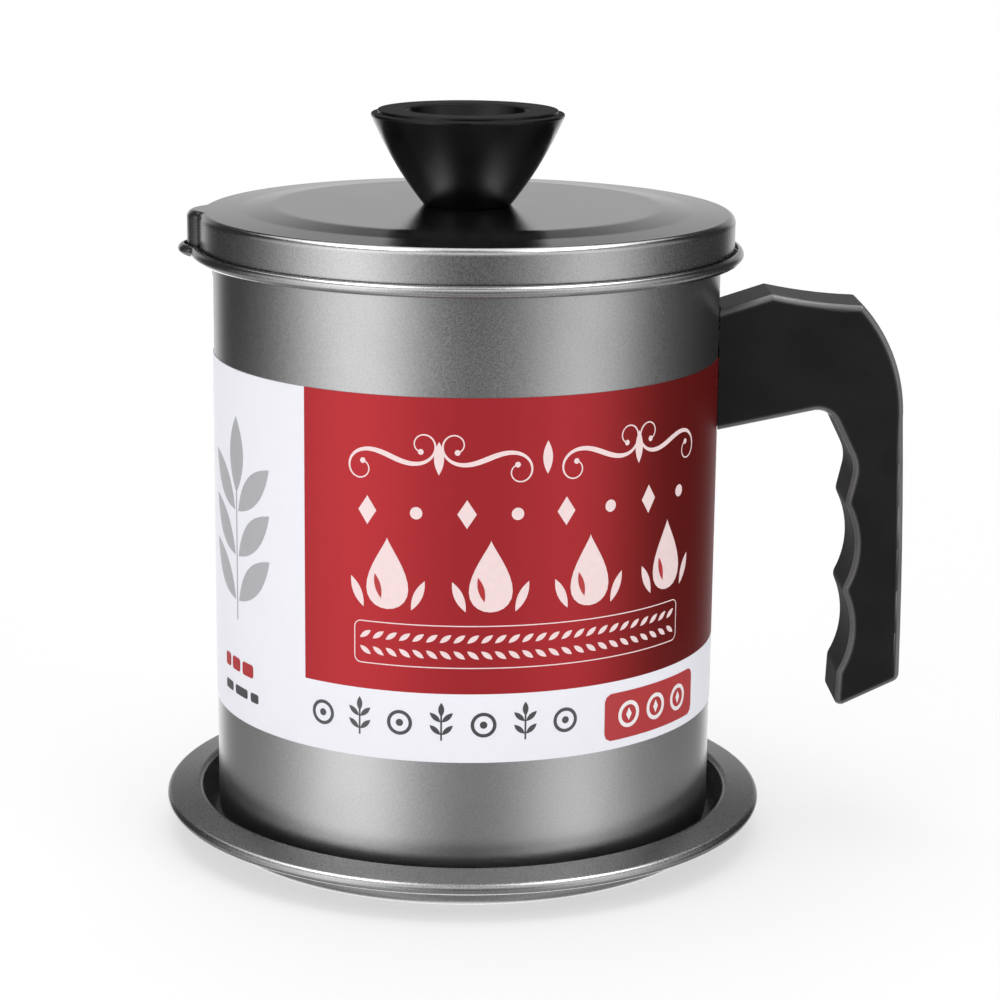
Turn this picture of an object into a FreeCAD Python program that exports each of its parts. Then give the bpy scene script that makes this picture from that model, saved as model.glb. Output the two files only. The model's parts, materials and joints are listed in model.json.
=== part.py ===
import FreeCAD, Part
import math
import operator
import os
import Sketcher
from FreeCAD import Placement, Rotation, Vector

# Oil strainer pot: a coated steel pot with a strainer, a capped lid and a saucer.
# Millimetres. +Z is up, the saucer rests on Z = 0 and the pot's axis is the Z axis.
# The handle points along +X and the pouring lip along -X.

SIZES = (
    # saucer
    ("tray_height", 11.3, "height of the flange where it leaves the well"),
    ("tray_flange_drop", 1.4, "how far the flange falls towards its edge"),
    ("tray_sheet", 0.7, "sheet thickness of the saucer"),
    ("tray_well_gap", 4.2, "gap between the pot's wall and the well at the flange"),
    ("tray_flange", 9.3, "width of the flange with its rolled edge"),
    ("tray_well_taper", 1.3, "how much narrower the well is at its floor"),
    ("tray_corner", 3.4, "inside radius between the floor and the well wall"),
    ("tray_bend", 1.3, "outside radius where the well turns into the flange"),
    ("tray_curl", 1.5, "outside radius of the rolled edge's section"),
    ("tray_ring_gap", 6.0, "how far the stiffening ring lies inside the pot's raised base"),
    ("tray_ring_width", 8.0, "width of the stiffening ring at its foot"),
    ("tray_ring_slope", 1.6, "width of each flank of the stiffening ring"),
    ("tray_ring_rise", 0.6, "height of the stiffening ring"),
    # pot
    ("pot_radius", 64.1, "outside radius of the pot's wall"),
    ("pot_height", 158.9, "height of the pot from its foot to the top of its rolled rim"),
    ("pot_sheet", 0.6, "sheet thickness of the pot"),
    ("pot_corner", 6.0, "outside radius between the wall and the base"),
    ("pot_base_rise", 1.2, "how far the middle of the base is pressed up"),
    ("pot_foot_land", 5.1, "width of the flat ring that the pot stands on"),
    ("pot_base_slope", 3.0, "width of the slope round the raised middle"),
    ("pot_curl", 1.2, "outside radius of the rolled rim's section"),
    ("spout_reach", 3.1, "how far the pouring lip stands out past the wall"),
    ("spout_tip", 7.6, "radius of the pouring lip's rounded tip"),
    ("spout_root", 7.4, "radius of the hollow on each side of the lip"),
    ("spout_depth", 14.0, "height over which the lip fades into the wall"),
    # strainer
    ("rim_seat_gap", 0.3, "gap between the rolled rim and the strainer's flange"),
    ("strainer_sheet", 0.5, "sheet thickness of the strainer's rim and band"),
    ("strainer_overhang", 1.4, "how far the strainer's flange reaches past the pot's wall"),
    ("strainer_clearance", 0.7, "gap between the strainer's collar and the pot's wall"),
    ("strainer_collar", 13.5, "height of the strainer's collar"),
    ("strainer_bend", 1.2, "outside radius between the collar and the flange"),
    ("band_height", 6.0, "height of the band that clamps the mesh"),
    ("mesh_sheet", 0.5, "thickness of the woven mesh"),
    ("crimp_gap", 0.04, "gap between clamped parts"),
    ("mesh_depth", 50.0, "depth of the mesh basket below the flange"),
    ("mesh_taper", 10.26, "how much narrower the mesh basket is at its floor"),
    ("mesh_corner", 8.0, "outside radius between the mesh wall and floor"),
    ("mesh_lap", 5.0, "height of mesh held between the collar and the band"),
    # lid
    ("lid_seat_gap", 0.1, "gap between the strainer's flange and the lid"),
    ("lid_stand_off", 3.4, "how far the lid's drum stands out from the pot's wall"),
    ("lid_sheet", 0.6, "sheet thickness of the lid"),
    ("lid_drum", 9.9, "height of the lid from the middle of its bead to its top"),
    ("lid_edge", 1.9, "outside radius round the lid's top edge"),
    ("lid_curl", 1.45, "outside radius of the lid bead's section"),
    ("lid_rise", 1.4, "height of the lid's flat middle above its edge"),
    ("lid_fall", 0.5, "how far the lid's outer ring falls towards its edge"),
    ("lid_border", 2.2, "width of the flat border along the lid's edge"),
    ("lid_margin", 18.5, "width from the drum's wall to the raised flat middle"),
    ("lid_slope", 8.0, "width of the slope round the raised middle"),
    ("lid_step_round", 20.0, "radius that softens the slope's upper edge"),
    ("lid_foot_round", 30.0, "radius that softens the slope's lower edge"),
    ("lid_hole_radius", 2.9, "radius of the hole for the knob's screw"),
    # knob
    ("knob_base_radius", 11.0, "radius of the knob where it sits on the lid"),
    ("knob_rim_radius", 24.3, "largest radius of the knob"),
    ("knob_cone", 22.3, "height of the knob's conical side"),
    ("knob_swell", 95.0, "radius of the conical side's slight swell"),
    ("knob_lip", 0.7, "height of the upright lip above the cone"),
    ("knob_crown_radius", 22.7, "radius of the raised ring on top"),
    ("knob_crown", 0.9, "height of the raised ring above the lip"),
    ("knob_well_radius", 15.4, "radius of the hollow at its mouth"),
    ("knob_well_floor", 10.5, "radius of the hollow at its floor"),
    ("knob_well_depth", 12.5, "depth of the hollow"),
    ("knob_foot_round", 0.6, "radius round the knob's foot"),
    ("knob_edge_round", 0.5, "radius round the top of the cone"),
    ("knob_lip_round", 0.4, "radius round the upright lip and the raised ring"),
    ("knob_step_round", 0.3, "radius between the lip and the raised ring"),
    ("knob_mouth_round", 0.9, "radius round the hollow's mouth"),
    ("knob_well_round", 3.0, "radius round the hollow's floor"),
    ("insert_radius", 4.2, "radius of the threaded insert moulded into the knob"),
    ("insert_length", 9.0, "length of the threaded insert"),
    ("insert_groove", 0.5, "depth of the insert's retaining groove"),
    # screws
    ("screw_radius", 2.4, "radius of the M5 screws' shanks"),
    ("thread_gap", 0.05, "gap round a screw in its thread"),
    ("screw_head_radius", 4.6, "radius of the pan heads"),
    ("screw_head_height", 2.9, "height of the pan heads"),
    ("screw_head_round", 1.6, "radius round the top of the pan heads"),
    ("screw_point", 0.5, "width and height of the bevel at the screws' ends"),
    ("screw_hole_gap", 0.2, "gap round a screw in a washer or a plain hole"),
    ("screw_slot_width", 1.2, "width of the cross recess"),
    ("screw_slot_length", 5.0, "length of the cross recess"),
    ("screw_slot_depth", 1.6, "depth of the cross recess"),
    ("washer_radius", 6.5, "outside radius of the knob's washer"),
    ("washer_sheet", 1.0, "thickness of the knob's washer"),
    ("knob_screw_length", 10.0, "length of the knob's screw below its head"),
    # handle: distances are counted from the pot's wall, and heights from the handle's screw
    ("handle_axis", 122.0, "height of the handle's screw"),
    ("handle_width", 20.0, "width of the handle across its side faces"),
    ("handle_gap", 0.3, "gap between the handle's end and the pot's wall"),
    ("handle_round", 2.0, "radius round the side faces' edges"),
    ("handle_crisp_round", 1.2, "radius of the thumb rest's two edges"),
    ("arm_top", 14.5, "height of the arm's top at the wall"),
    ("arm_bottom", -16.2, "height of the arm's underside at the wall"),
    ("thumb_tip_x", 12.6, "distance of the thumb rest's tip"),
    ("thumb_tip_z", 19.3, "height of the thumb rest's tip"),
    ("thumb_end_x", 35.8, "distance of the thumb rest's outer end"),
    ("thumb_end_z", 16.5, "height of the thumb rest's outer end"),
    ("thumb_hollow", 130.0, "radius of the thumb rest's shallow hollow"),
    ("shoulder_radius", 42.0, "radius of the outer shoulder"),
    ("grip_top_x", 47.1, "distance of the grip's back where the shoulder ends"),
    ("grip_top_z", -13.0, "height where the shoulder ends"),
    ("grip_end_x", 48.9, "distance of the grip's back at its lower end"),
    ("grip_end_z", -81.8, "height of the grip's lower end at its back"),
    ("grip_bow", 1500.0, "radius of the grip's slightly bowed back"),
    ("grip_toe_x", 32.2, "distance of the grip's lower end on the finger side"),
    ("grip_toe_z", -89.8, "height of the grip's lower end on the finger side"),
    ("arm_crook_x", 27.9, "distance where the arm's underside turns into the grip"),
    ("arm_crook_z", -9.9, "height where the arm's underside turns into the grip"),
    ("crook_round", 5.0, "radius under the arm where the grip starts"),
    ("first_finger_x", 35.2, "distance of the first finger's hollow"),
    ("first_finger_z", -24.8, "height of the first finger's hollow"),
    ("first_finger_round", 9.0, "radius of the first finger's hollow"),
    ("finger_ridge_x", 33.0, "distance of the ridges between the fingers"),
    ("finger_ridge_one", -34.8, "height of the upper ridge between the fingers"),
    ("finger_ridge_two", -57.6, "height of the lower ridge between the fingers"),
    ("finger_ridge_round", 3.0, "radius that softens the ridges"),
    ("finger_hollow", 23.3, "radius of the lower finger hollows"),
    ("finger_end", -79.5, "height where the last finger hollow ends"),
    ("grip_front_x", 32.6, "distance of the grip's finger side where the last hollow ends"),
    ("grip_corner_round", 2.4, "radius of the grip's lower corner at its back"),
    ("grip_toe_round", 1.6, "radius of the grip's lower corner on the finger side"),
    # handle bracket and its fasteners
    ("bracket_sheet", 1.5, "sheet thickness of the bracket"),
    ("bracket_width", 13.0, "width of the bracket strap"),
    ("bracket_height", 13.4, "height of the strap's loop"),
    ("bracket_reach", 18.5, "how far the strap's loop stands out from the wall"),
    ("bracket_foot", 6.5, "height of each welded foot"),
    ("bracket_bend", 1.6, "outside radius of the strap's outer bends"),
    ("socket_gap", 0.3, "gap between the bracket and the handle's socket"),
    ("nut_width", 8.0, "width of the square weld nut"),
    ("nut_height", 4.0, "thickness of the square weld nut"),
    ("screw_seat", 34.9, "distance of the handle screw's seat from the pot's wall"),
    ("screw_well_radius", 5.2, "radius of the well round the handle screw's head"),
    ("screw_bore_radius", 2.9, "radius of the bore for the handle screw"),
    ("lock_washer_radius", 4.4, "outside radius of the spring lock washer"),
    ("lock_washer_sheet", 1.3, "thickness of the spring lock washer"),
    ("lock_washer_slit", 0.8, "width of the lock washer's slit"),
    # paper sleeve
    ("label_bottom", 36.1, "height of the sleeve's lower edge"),
    ("label_top", 125.5, "height of the sleeve's upper edge"),
    ("label_paper", 0.2, "thickness of the paper"),
    ("label_gap", 0.02, "gap between the paper and the wall"),
    ("label_notch_gap", 0.5, "gap round the handle in the sleeve's notch"),
    ("label_seam", 0.8, "gap between the sleeve's two ends"),
)


class Size:
    """A length that knows its value in millimetres and its formula in the sheet."""

    def __init__(self, value, formula):
        self.value = value
        self.formula = formula

    def __add__(self, other):
        return combine(self, "+", operator.add, other)

    def __radd__(self, other):
        return combine(other, "+", operator.add, self)

    def __sub__(self, other):
        return combine(self, "-", operator.sub, other)

    def __rsub__(self, other):
        return combine(other, "-", operator.sub, self)

    def __mul__(self, other):
        return combine(self, "*", operator.mul, other)

    def __rmul__(self, other):
        return combine(other, "*", operator.mul, self)

    def __truediv__(self, other):
        return combine(self, "/", operator.truediv, other)

    def __neg__(self):
        return combine(0, "-", operator.sub, self)


def as_size(length):
    """Give a plain number the same form as a size of the sheet."""
    if isinstance(length, Size):
        return length
    return Size(float(length), repr(float(length)))


def combine(left, sign, calculate, right):
    left = as_size(left)
    right = as_size(right)
    return Size(calculate(left.value, right.value), f"({left.formula} {sign} {right.formula})")


def make_sheet(document):
    """Put the driving dimensions in the sheet and return them by name."""
    sheet = document.addObject("Spreadsheet::Sheet", "Sizes")
    sizes = {}
    for row, (alias, value, meaning) in enumerate(SIZES, start=1):
        sheet.set(f"A{row}", meaning)
        sheet.set(f"B{row}", str(value))
        sheet.setAlias(f"B{row}", alias)
        sizes[alias] = Size(float(value), f"Sizes.{alias}")
    document.recompute()
    return sizes


doc = FreeCAD.newDocument("OilStrainerPot")
size = make_sheet(doc)


# ---------------------------------------------------------------- sketches

H_AXIS, V_AXIS = -1, -2         # the sketcher's numbers for a sketch's own axes
START, END, CENTRE = range(1, 4)    # and for the spots of a line or an arc
ORIGIN = (H_AXIS, START)
TINY = 1e-7     # numbers below this count as nothing
NEAR = 1e-4     # how exactly an edge lies where a test looks for it
PAST = 1.0      # how far a cut runs past the face that it opens


def new_body(label):
    body = doc.addObject("PartDesign::Body", label)
    body.Label = label
    return body


def origin_plane(body, role):
    return next(item for item in body.Origin.OriginFeatures if item.Role == role)


def new_sketch(body, name, role, offset=None):
    """Add a sketch on an origin plane of the body, moved along the plane's normal."""
    sketch = body.newObject("Sketcher::SketchObject", name)
    sketch.AttachmentSupport = (origin_plane(body, role), [""])
    sketch.MapMode = "FlatFace"
    if offset is not None:
        sketch.AttachmentOffset = Placement(Vector(0, 0, as_size(offset).value), Rotation())
        sketch.setExpression("AttachmentOffset.Base.z", as_size(offset).formula)
    return sketch


class Rules:
    """The constraints of a sketch, with the formulas that drive their values."""

    def __init__(self, sketch):
        self.sketch = sketch
        self.constraints = []
        self.formulas = {}

    def add(self, kind, *places):
        self.constraints.append(Sketcher.Constraint(kind, *places))

    def drive(self, kind, *places_and_length):
        length = as_size(places_and_length[-1])
        self.formulas[len(self.constraints)] = length.formula
        self.add(kind, *places_and_length[:-1], length.value)

    def pin(self, geometry, spot, across, up):
        """Tie a point to its two coordinates."""
        for kind, axis, length in (("DistanceX", V_AXIS, across), ("DistanceY", H_AXIS, up)):
            if abs(as_size(length).value) < TINY:
                self.add("PointOnObject", geometry, spot, axis)
            else:
                self.drive(kind, *ORIGIN, geometry, spot, length)

    def apply(self):
        self.sketch.addConstraint(self.constraints)
        for index, formula in self.formulas.items():
            self.sketch.setExpression(f"Constraints[{index}]", formula)


class Outline:
    """A closed outline: corners that may be rounded, joined by lines and arcs."""

    def __init__(self, body, name, role, offset=None):
        self.sketch = new_sketch(body, name, role, offset)
        self.corners = []

    def to(self, across, up, rounding=None):
        """Go straight to a corner."""
        self.corners.append((as_size(across), as_size(up), rounding, None))
        return self

    def arc(self, across, up, radius, centre, clockwise=False, rounding=None):
        """Go to a corner along an arc. The centre tells which of the arcs is meant."""
        middle = Vector(as_size(centre[0]).value, as_size(centre[1]).value, 0)
        bow = (as_size(radius), middle, clockwise)
        self.corners.append((as_size(across), as_size(up), rounding, bow))
        return self

    def close(self):
        """Draw the outline, and tie every corner and radius to its size."""
        rules = Rules(self.sketch)
        points = [Vector(x.value, y.value, 0) for x, y, _, _ in self.corners]
        count = len(points)
        sides = [Side(points[n - 1], points[n], self.corners[n][3]) for n in range(count)]
        entries = list(points)
        leaves = list(points)
        middles = {}
        for index, (_, _, rounding, _) in enumerate(self.corners):
            if rounding is not None:
                coming = sides[index]
                going = sides[(index + 1) % count]
                middle = rounding_middle(points[index], coming, going, as_size(rounding).value)
                middles[index] = middle
                entries[index] = coming.nearest(middle)
                leaves[index] = going.nearest(middle)
        ends = []
        for index, (_, _, _, bow) in enumerate(self.corners):
            ends.append(self.add_side(rules, leaves[index - 1], entries[index], bow))
        for index, (across, up, rounding, _) in enumerate(self.corners):
            coming = ends[index]
            going = ends[(index + 1) % count]
            if rounding is None:
                rules.add("Coincident", coming[0], coming[2], going[0], going[1])
                rules.pin(coming[0], coming[2], across, up)
            else:
                turns_left = sides[index].turns_left(sides[(index + 1) % count], points[index])
                travel = (entries[index], leaves[index], middles[index], turns_left)
                self.add_rounding(rules, index, travel, coming, going)
        rules.apply()
        return self.sketch

    def add_side(self, rules, first, last, bow):
        """Add a line or an arc and return its number and its first and last spots."""
        if bow is None:
            number = self.sketch.addGeometry(Part.LineSegment(first, last), False)
            return number, START, END
        radius, middle, clockwise = bow
        if clockwise:
            number = self.sketch.addGeometry(arc_between(middle, last, first), False)
            spots = (END, START)
        else:
            number = self.sketch.addGeometry(arc_between(middle, first, last), False)
            spots = (START, END)
        rules.drive("Radius", number, radius)
        return number, *spots

    def add_rounding(self, rules, index, travel, coming, going):
        """Round a corner with an arc tangent to both sides, and pin where the sides would meet."""
        across, up, rounding, _ = self.corners[index]
        entry, leave, middle, turns_left = travel
        if turns_left:
            number = self.sketch.addGeometry(arc_between(middle, entry, leave), False)
            first, last = START, END
        else:
            number = self.sketch.addGeometry(arc_between(middle, leave, entry), False)
            first, last = END, START
        rules.add("Tangent", coming[0], coming[2], number, first)
        rules.add("Tangent", number, last, going[0], going[1])
        rules.drive("Radius", number, rounding)
        corner = Vector(across.value, up.value, 0)
        meeting = self.sketch.addGeometry(Part.Point(corner), True)
        rules.add("PointOnObject", meeting, START, coming[0])
        rules.add("PointOnObject", meeting, START, going[0])
        rules.pin(meeting, START, across, up)


class Side:
    """A side of an outline: a line, or an arc round a middle, with its distances to the left."""

    def __init__(self, first, last, bow):
        self.first = first
        self.bow = bow
        self.along = (last - first).normalize()

    def left(self, point):
        """The unit vector that points to the left of travel at the point."""
        if self.bow is None:
            return Vector(-self.along.y, self.along.x, 0)
        _, middle, clockwise = self.bow
        return (point - middle).normalize() * (1 if clockwise else -1)

    def distance(self, point):
        """How far the point lies to the left of the side."""
        if self.bow is None:
            return (point - self.first).dot(self.left(point))
        radius, middle, clockwise = self.bow
        outside = (point - middle).Length - radius.value
        return outside if clockwise else -outside

    def nearest(self, point):
        return point - self.left(point) * self.distance(point)

    def turns_left(self, other, corner):
        a = self.left(corner)
        b = other.left(corner)
        return a.x * b.y - a.y * b.x > 0


def rounding_middle(corner, coming, going, radius):
    """The centre of the arc of one radius that touches both sides near their corner."""
    wanted = radius if coming.turns_left(going, corner) else -radius
    middle = Vector(corner)
    for _ in range(40):
        a = coming.left(middle)
        b = going.left(middle)
        miss_a = wanted - coming.distance(middle)
        miss_b = wanted - going.distance(middle)
        spread = a.x * b.y - a.y * b.x
        middle += Vector(miss_a * b.y - miss_b * a.y, miss_b * a.x - miss_a * b.x, 0) * (1 / spread)
    return middle


def arc_middle(first, last, radius, left):
    """The centre of an arc between two corners, to the left or right of the way between them."""
    start = Vector(first[0].value, first[1].value, 0)
    end = Vector(last[0].value, last[1].value, 0)
    chord = end - start
    half = chord.Length / 2
    aside = Vector(-chord.y, chord.x, 0).normalize() * (1 if left else -1)
    middle = (start + end) * 0.5 + aside * math.sqrt(radius.value ** 2 - half ** 2)
    return middle.x, middle.y


def arc_between(middle, first, last):
    """The arc round the middle that turns anticlockwise from the first point to the last."""
    start = math.atan2(first.y - middle.y, first.x - middle.x)
    end = math.atan2(last.y - middle.y, last.x - middle.x)
    if end <= start:
        end += 2 * math.pi
    radius = (first - middle).Length
    return Part.ArcOfCircle(Part.Circle(middle, Vector(0, 0, 1), radius), start, end)


def circle_sketch(body, name, role, radius, across=0, up=0, offset=None):
    sketch = new_sketch(body, name, role, offset)
    rules = Rules(sketch)
    middle = Vector(as_size(across).value, as_size(up).value, 0)
    number = sketch.addGeometry(Part.Circle(middle, Vector(0, 0, 1), as_size(radius).value), False)
    rules.pin(number, CENTRE, across, up)
    rules.drive("Radius", number, radius)
    rules.apply()
    return sketch


def rectangle_sketch(body, name, role, low, high, offset=None):
    outline = Outline(body, name, role, offset)
    outline.to(low[0], low[1]).to(high[0], low[1]).to(high[0], high[1]).to(low[0], high[1])
    return outline.close()


# ---------------------------------------------------------------- features

def finish(body, feature):
    """Recompute, and stop if the feature failed."""
    doc.recompute()
    if feature.Shape.isNull() or not feature.Shape.isValid():
        raise RuntimeError(f"{body.Label}: {feature.Name} has no valid shape")
    return feature


def removing(body, feature, before):
    """Finish a feature that has to take material away."""
    finish(body, feature)
    if not feature.Shape.Volume < before - TINY:
        raise RuntimeError(f"{body.Label}: {feature.Name} removes nothing")
    return feature


def revolve(body, sketch):
    feature = body.newObject("PartDesign::Revolution", f"{sketch.Name}_turned")
    feature.Profile = sketch
    feature.ReferenceAxis = (sketch, ["V_Axis"])
    feature.Angle = 360
    return finish(body, feature)


def groove(body, sketch):
    before = body.Shape.Volume
    feature = body.newObject("PartDesign::Groove", f"{sketch.Name}_cut")
    feature.Profile = sketch
    feature.ReferenceAxis = (sketch, ["V_Axis"])
    feature.Angle = 360
    return removing(body, feature, before)


def pad(body, sketch, length, symmetric=False, backwards=False):
    feature = body.newObject("PartDesign::Pad", f"{sketch.Name}_pad")
    feature.Profile = sketch
    feature.SideType = "Symmetric" if symmetric else "One side"
    feature.Reversed = backwards
    feature.Length = as_size(length).value
    feature.setExpression("Length", as_size(length).formula)
    return finish(body, feature)


def pocket(body, sketch, length, symmetric=False, forwards=True):
    """Cut along the sketch's normal, or against it when forwards is False."""
    before = body.Shape.Volume
    feature = body.newObject("PartDesign::Pocket", f"{sketch.Name}_cut")
    feature.Profile = sketch
    feature.SideType = "Symmetric" if symmetric else "One side"
    feature.Reversed = forwards
    feature.Length = as_size(length).value
    feature.setExpression("Length", as_size(length).formula)
    return removing(body, feature, before)


def loft(body, kind, sketches):
    before = body.Shape.Volume
    feature = body.newObject(f"PartDesign::{kind}", f"{sketches[0].Name}_loft")
    feature.Profile = sketches[0]
    feature.Sections = sketches[1:]
    feature.Ruled = True
    if kind == "SubtractiveLoft":
        return removing(body, feature, before)
    return finish(body, feature)


def pipe(body, section, path):
    feature = body.newObject("PartDesign::AdditivePipe", f"{section.Name}_pipe")
    feature.Profile = section
    feature.Spine = path
    feature.Mode = "Frenet"
    return finish(body, feature)


def fillet(body, radius, wanted):
    """Round the edges of the body's shape for which wanted(edge) is true."""
    base = body.Tip
    names = [f"Edge{n}" for n, edge in enumerate(base.Shape.Edges, start=1) if wanted(edge)]
    if not names:
        raise RuntimeError(f"{body.Label}: no edge to round")
    feature = body.newObject("PartDesign::Fillet", "Round")
    feature.Base = (base, names)
    feature.Radius = as_size(radius).value
    feature.setExpression("Radius", as_size(radius).formula)
    return finish(body, feature)


def at_height(height):
    """A test for edges that lie wholly at one height."""
    level = as_size(height).value

    def wanted(edge):
        box = edge.BoundBox
        return abs(box.ZMin - level) < NEAR and abs(box.ZMax - level) < NEAR

    return wanted


# ---------------------------------------------------------------- levels

pot_foot = size["tray_sheet"]
pot_base_slope_end = size["pot_radius"] - size["pot_corner"] - size["pot_foot_land"]
pot_base_radius = pot_base_slope_end - size["pot_base_slope"]
lid_radius = size["pot_radius"] + size["lid_stand_off"]
pot_rim = pot_foot + size["pot_height"]
curl_level = pot_rim - size["pot_curl"]
strainer_seat = pot_rim + size["rim_seat_gap"]
strainer_top = strainer_seat + size["strainer_sheet"]
lid_ceiling = strainer_top + size["lid_seat_gap"]
lid_top = lid_ceiling + size["lid_sheet"]
bead_level = lid_top - size["lid_drum"]
disc_top = lid_top + size["lid_rise"]
disc_ceiling = lid_ceiling + size["lid_rise"]
collar_outer = size["pot_radius"] - size["pot_sheet"] - size["strainer_clearance"]
collar_foot = strainer_top - size["strainer_collar"]
mesh_outer = collar_outer - size["strainer_sheet"] - size["crimp_gap"]
nut_face = size["pot_radius"] + size["bracket_reach"] - size["bracket_sheet"]
screw_hole = size["screw_radius"] + size["screw_hole_gap"]
screw_seat = size["pot_radius"] + size["screw_seat"]


# ---------------------------------------------------------------- saucer

def make_tray():
    body = new_body("tray")
    sheet = size["tray_sheet"]
    well = size["pot_radius"] + size["tray_well_gap"]
    floor = well - size["tray_well_taper"]
    curl = size["tray_curl"]
    edge = well + size["tray_flange"] - curl
    edge_top = size["tray_height"] - size["tray_flange_drop"]
    middle = (edge, edge_top - curl)
    inner = curl - sheet
    slope = size["tray_ring_slope"]
    ring_outside = pot_base_radius - size["tray_ring_gap"]
    ring_inside = ring_outside - size["tray_ring_width"]
    rise = size["tray_ring_rise"]
    outline = Outline(body, "tray_section", "XZ_Plane")
    outline.to(0, 0)
    outline.to(ring_inside, 0).to(ring_inside + slope, rise)
    outline.to(ring_outside - slope, rise).to(ring_outside, 0)
    outline.to(floor + sheet, 0, size["tray_corner"] + sheet)
    outline.to(well + sheet, size["tray_height"] - sheet, size["tray_bend"] - sheet)
    outline.to(edge, edge_top - sheet)
    outline.arc(edge - inner, edge_top - curl, inner, middle, clockwise=True)
    outline.to(edge - curl, edge_top - curl)
    outline.arc(edge, edge_top, curl, middle)
    outline.to(well, size["tray_height"], size["tray_bend"])
    outline.to(floor, sheet, size["tray_corner"])
    outline.to(ring_outside, sheet).to(ring_outside - slope, sheet + rise)
    outline.to(ring_inside + slope, sheet + rise).to(ring_inside, sheet)
    outline.to(0, sheet)
    revolve(body, outline.close())
    return body


# ---------------------------------------------------------------- pouring lip outline

def lip_outline(body, name, level, offset, faded=False):
    """A circle round the pot's axis with the pouring lip at -X.

    The offset is the outline's distance outside the pot's wall. A faded outline is the
    plain circle, parted at the same angles, so that a loft can join the two.
    """
    radius = size["pot_radius"] + offset
    tip = size["spout_tip"] + offset
    root = size["spout_root"] - offset
    tip_middle = radius + size["spout_reach"] - tip
    far = radius.value + root.value
    near = tip.value + root.value
    reach = tip_middle.value
    root_x = -(far ** 2 - near ** 2 + reach ** 2) / (2 * reach)
    root_y = math.sqrt(far ** 2 - root_x ** 2)
    hollow = Vector(root_x, root_y, 0)
    leave = hollow * (radius.value / far)
    join = Vector(-reach, 0, 0) + (hollow - Vector(-reach, 0, 0)) * (tip.value / near)
    sketch = new_sketch(body, name, "XY_Plane", level)
    if faded:
        draw_parted_circle(sketch, radius, leave, join)
    else:
        draw_lip(sketch, radius, tip, root, tip_middle, hollow, leave, join)
    return sketch


def mirrored(point):
    return Vector(point.x, -point.y, 0)


def draw_lip(sketch, radius, tip, root, tip_middle, hollow, leave, join):
    nose = Vector(-tip_middle.value, 0, 0)
    first = Vector(radius.value, 0, 0)
    sketch.addGeometry([
        arc_between(Vector(), first, leave),
        arc_between(hollow, join, leave),
        arc_between(nose, join, mirrored(join)),
        arc_between(mirrored(hollow), mirrored(leave), mirrored(join)),
        arc_between(Vector(), mirrored(leave), first),
    ], False)
    rules = Rules(sketch)
    rules.add("Coincident", 0, CENTRE, *ORIGIN)
    rules.drive("Radius", 0, radius)
    rules.add("PointOnObject", 0, START, H_AXIS)
    rules.add("Tangent", 0, END, 1, END)
    rules.add("Tangent", 1, START, 2, START)
    rules.add("Tangent", 2, END, 3, END)
    rules.add("Tangent", 3, START, 4, START)
    rules.add("Coincident", 4, CENTRE, *ORIGIN)
    rules.add("Coincident", 4, END, 0, START)
    rules.pin(2, CENTRE, -tip_middle, 0)
    rules.drive("Radius", 2, tip)
    rules.drive("Radius", 1, root)
    rules.add("Equal", 1, 3)
    rules.apply()


def draw_parted_circle(sketch, radius, leave, join):
    first = Vector(radius.value, 0, 0)
    joint = join * (radius.value / join.Length)
    stops = [first, leave, joint, mirrored(joint), mirrored(leave), first]
    sketch.addGeometry([arc_between(Vector(), a, b) for a, b in zip(stops, stops[1:])], False)
    rules = Rules(sketch)
    rules.drive("Radius", 0, radius)
    rules.add("PointOnObject", 0, START, H_AXIS)
    for number in range(5):
        rules.add("Coincident", number, CENTRE, *ORIGIN)
        rules.add("Coincident", number, END, (number + 1) % 5, START)
        if number < 4:
            rules.add("DistanceY", *ORIGIN, number, END, stops[number + 1].y)
    rules.apply()


# ---------------------------------------------------------------- pot

def make_pot_body():
    body = new_body("pot_body")
    sheet = size["pot_sheet"]
    outer = size["pot_radius"]
    inner = outer - sheet
    lip_start = curl_level - size["spout_depth"]
    rise = size["pot_base_rise"]
    crown = pot_base_radius
    slope = pot_base_slope_end
    outline = Outline(body, "pot_section", "XZ_Plane")
    outline.to(0, pot_foot + rise)
    outline.to(crown, pot_foot + rise)
    outline.to(slope, pot_foot)
    outline.to(outer, pot_foot, size["pot_corner"])
    outline.to(outer, lip_start)
    outline.to(inner, lip_start)
    outline.to(inner, pot_foot + sheet, size["pot_corner"] - sheet)
    outline.to(slope, pot_foot + sheet)
    outline.to(crown, pot_foot + rise + sheet)
    outline.to(0, pot_foot + rise + sheet)
    revolve(body, outline.close())
    outside = [
        lip_outline(body, "lip_outside_low", lip_start, 0, faded=True),
        lip_outline(body, "lip_outside_high", curl_level, 0),
    ]
    loft(body, "AdditiveLoft", outside)
    inside = [
        lip_outline(body, "lip_inside_low", lip_start, -sheet, faded=True),
        lip_outline(body, "lip_inside_high", curl_level, -sheet),
    ]
    loft(body, "SubtractiveLoft", inside)
    curl = size["pot_curl"]
    middle = (inner + curl, curl_level)
    section = Outline(body, "rim_section", "XZ_Plane")
    section.to(inner, curl_level)
    section.arc(inner + curl, curl_level - curl, curl, middle, clockwise=True)
    section.to(inner + curl, curl_level - curl + sheet)
    section.arc(inner + sheet, curl_level, curl - sheet, middle)
    section = section.close()
    path = lip_outline(body, "rim_path", curl_level, curl - sheet)
    pipe(body, section, path)
    return body


# ---------------------------------------------------------------- lid

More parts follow.
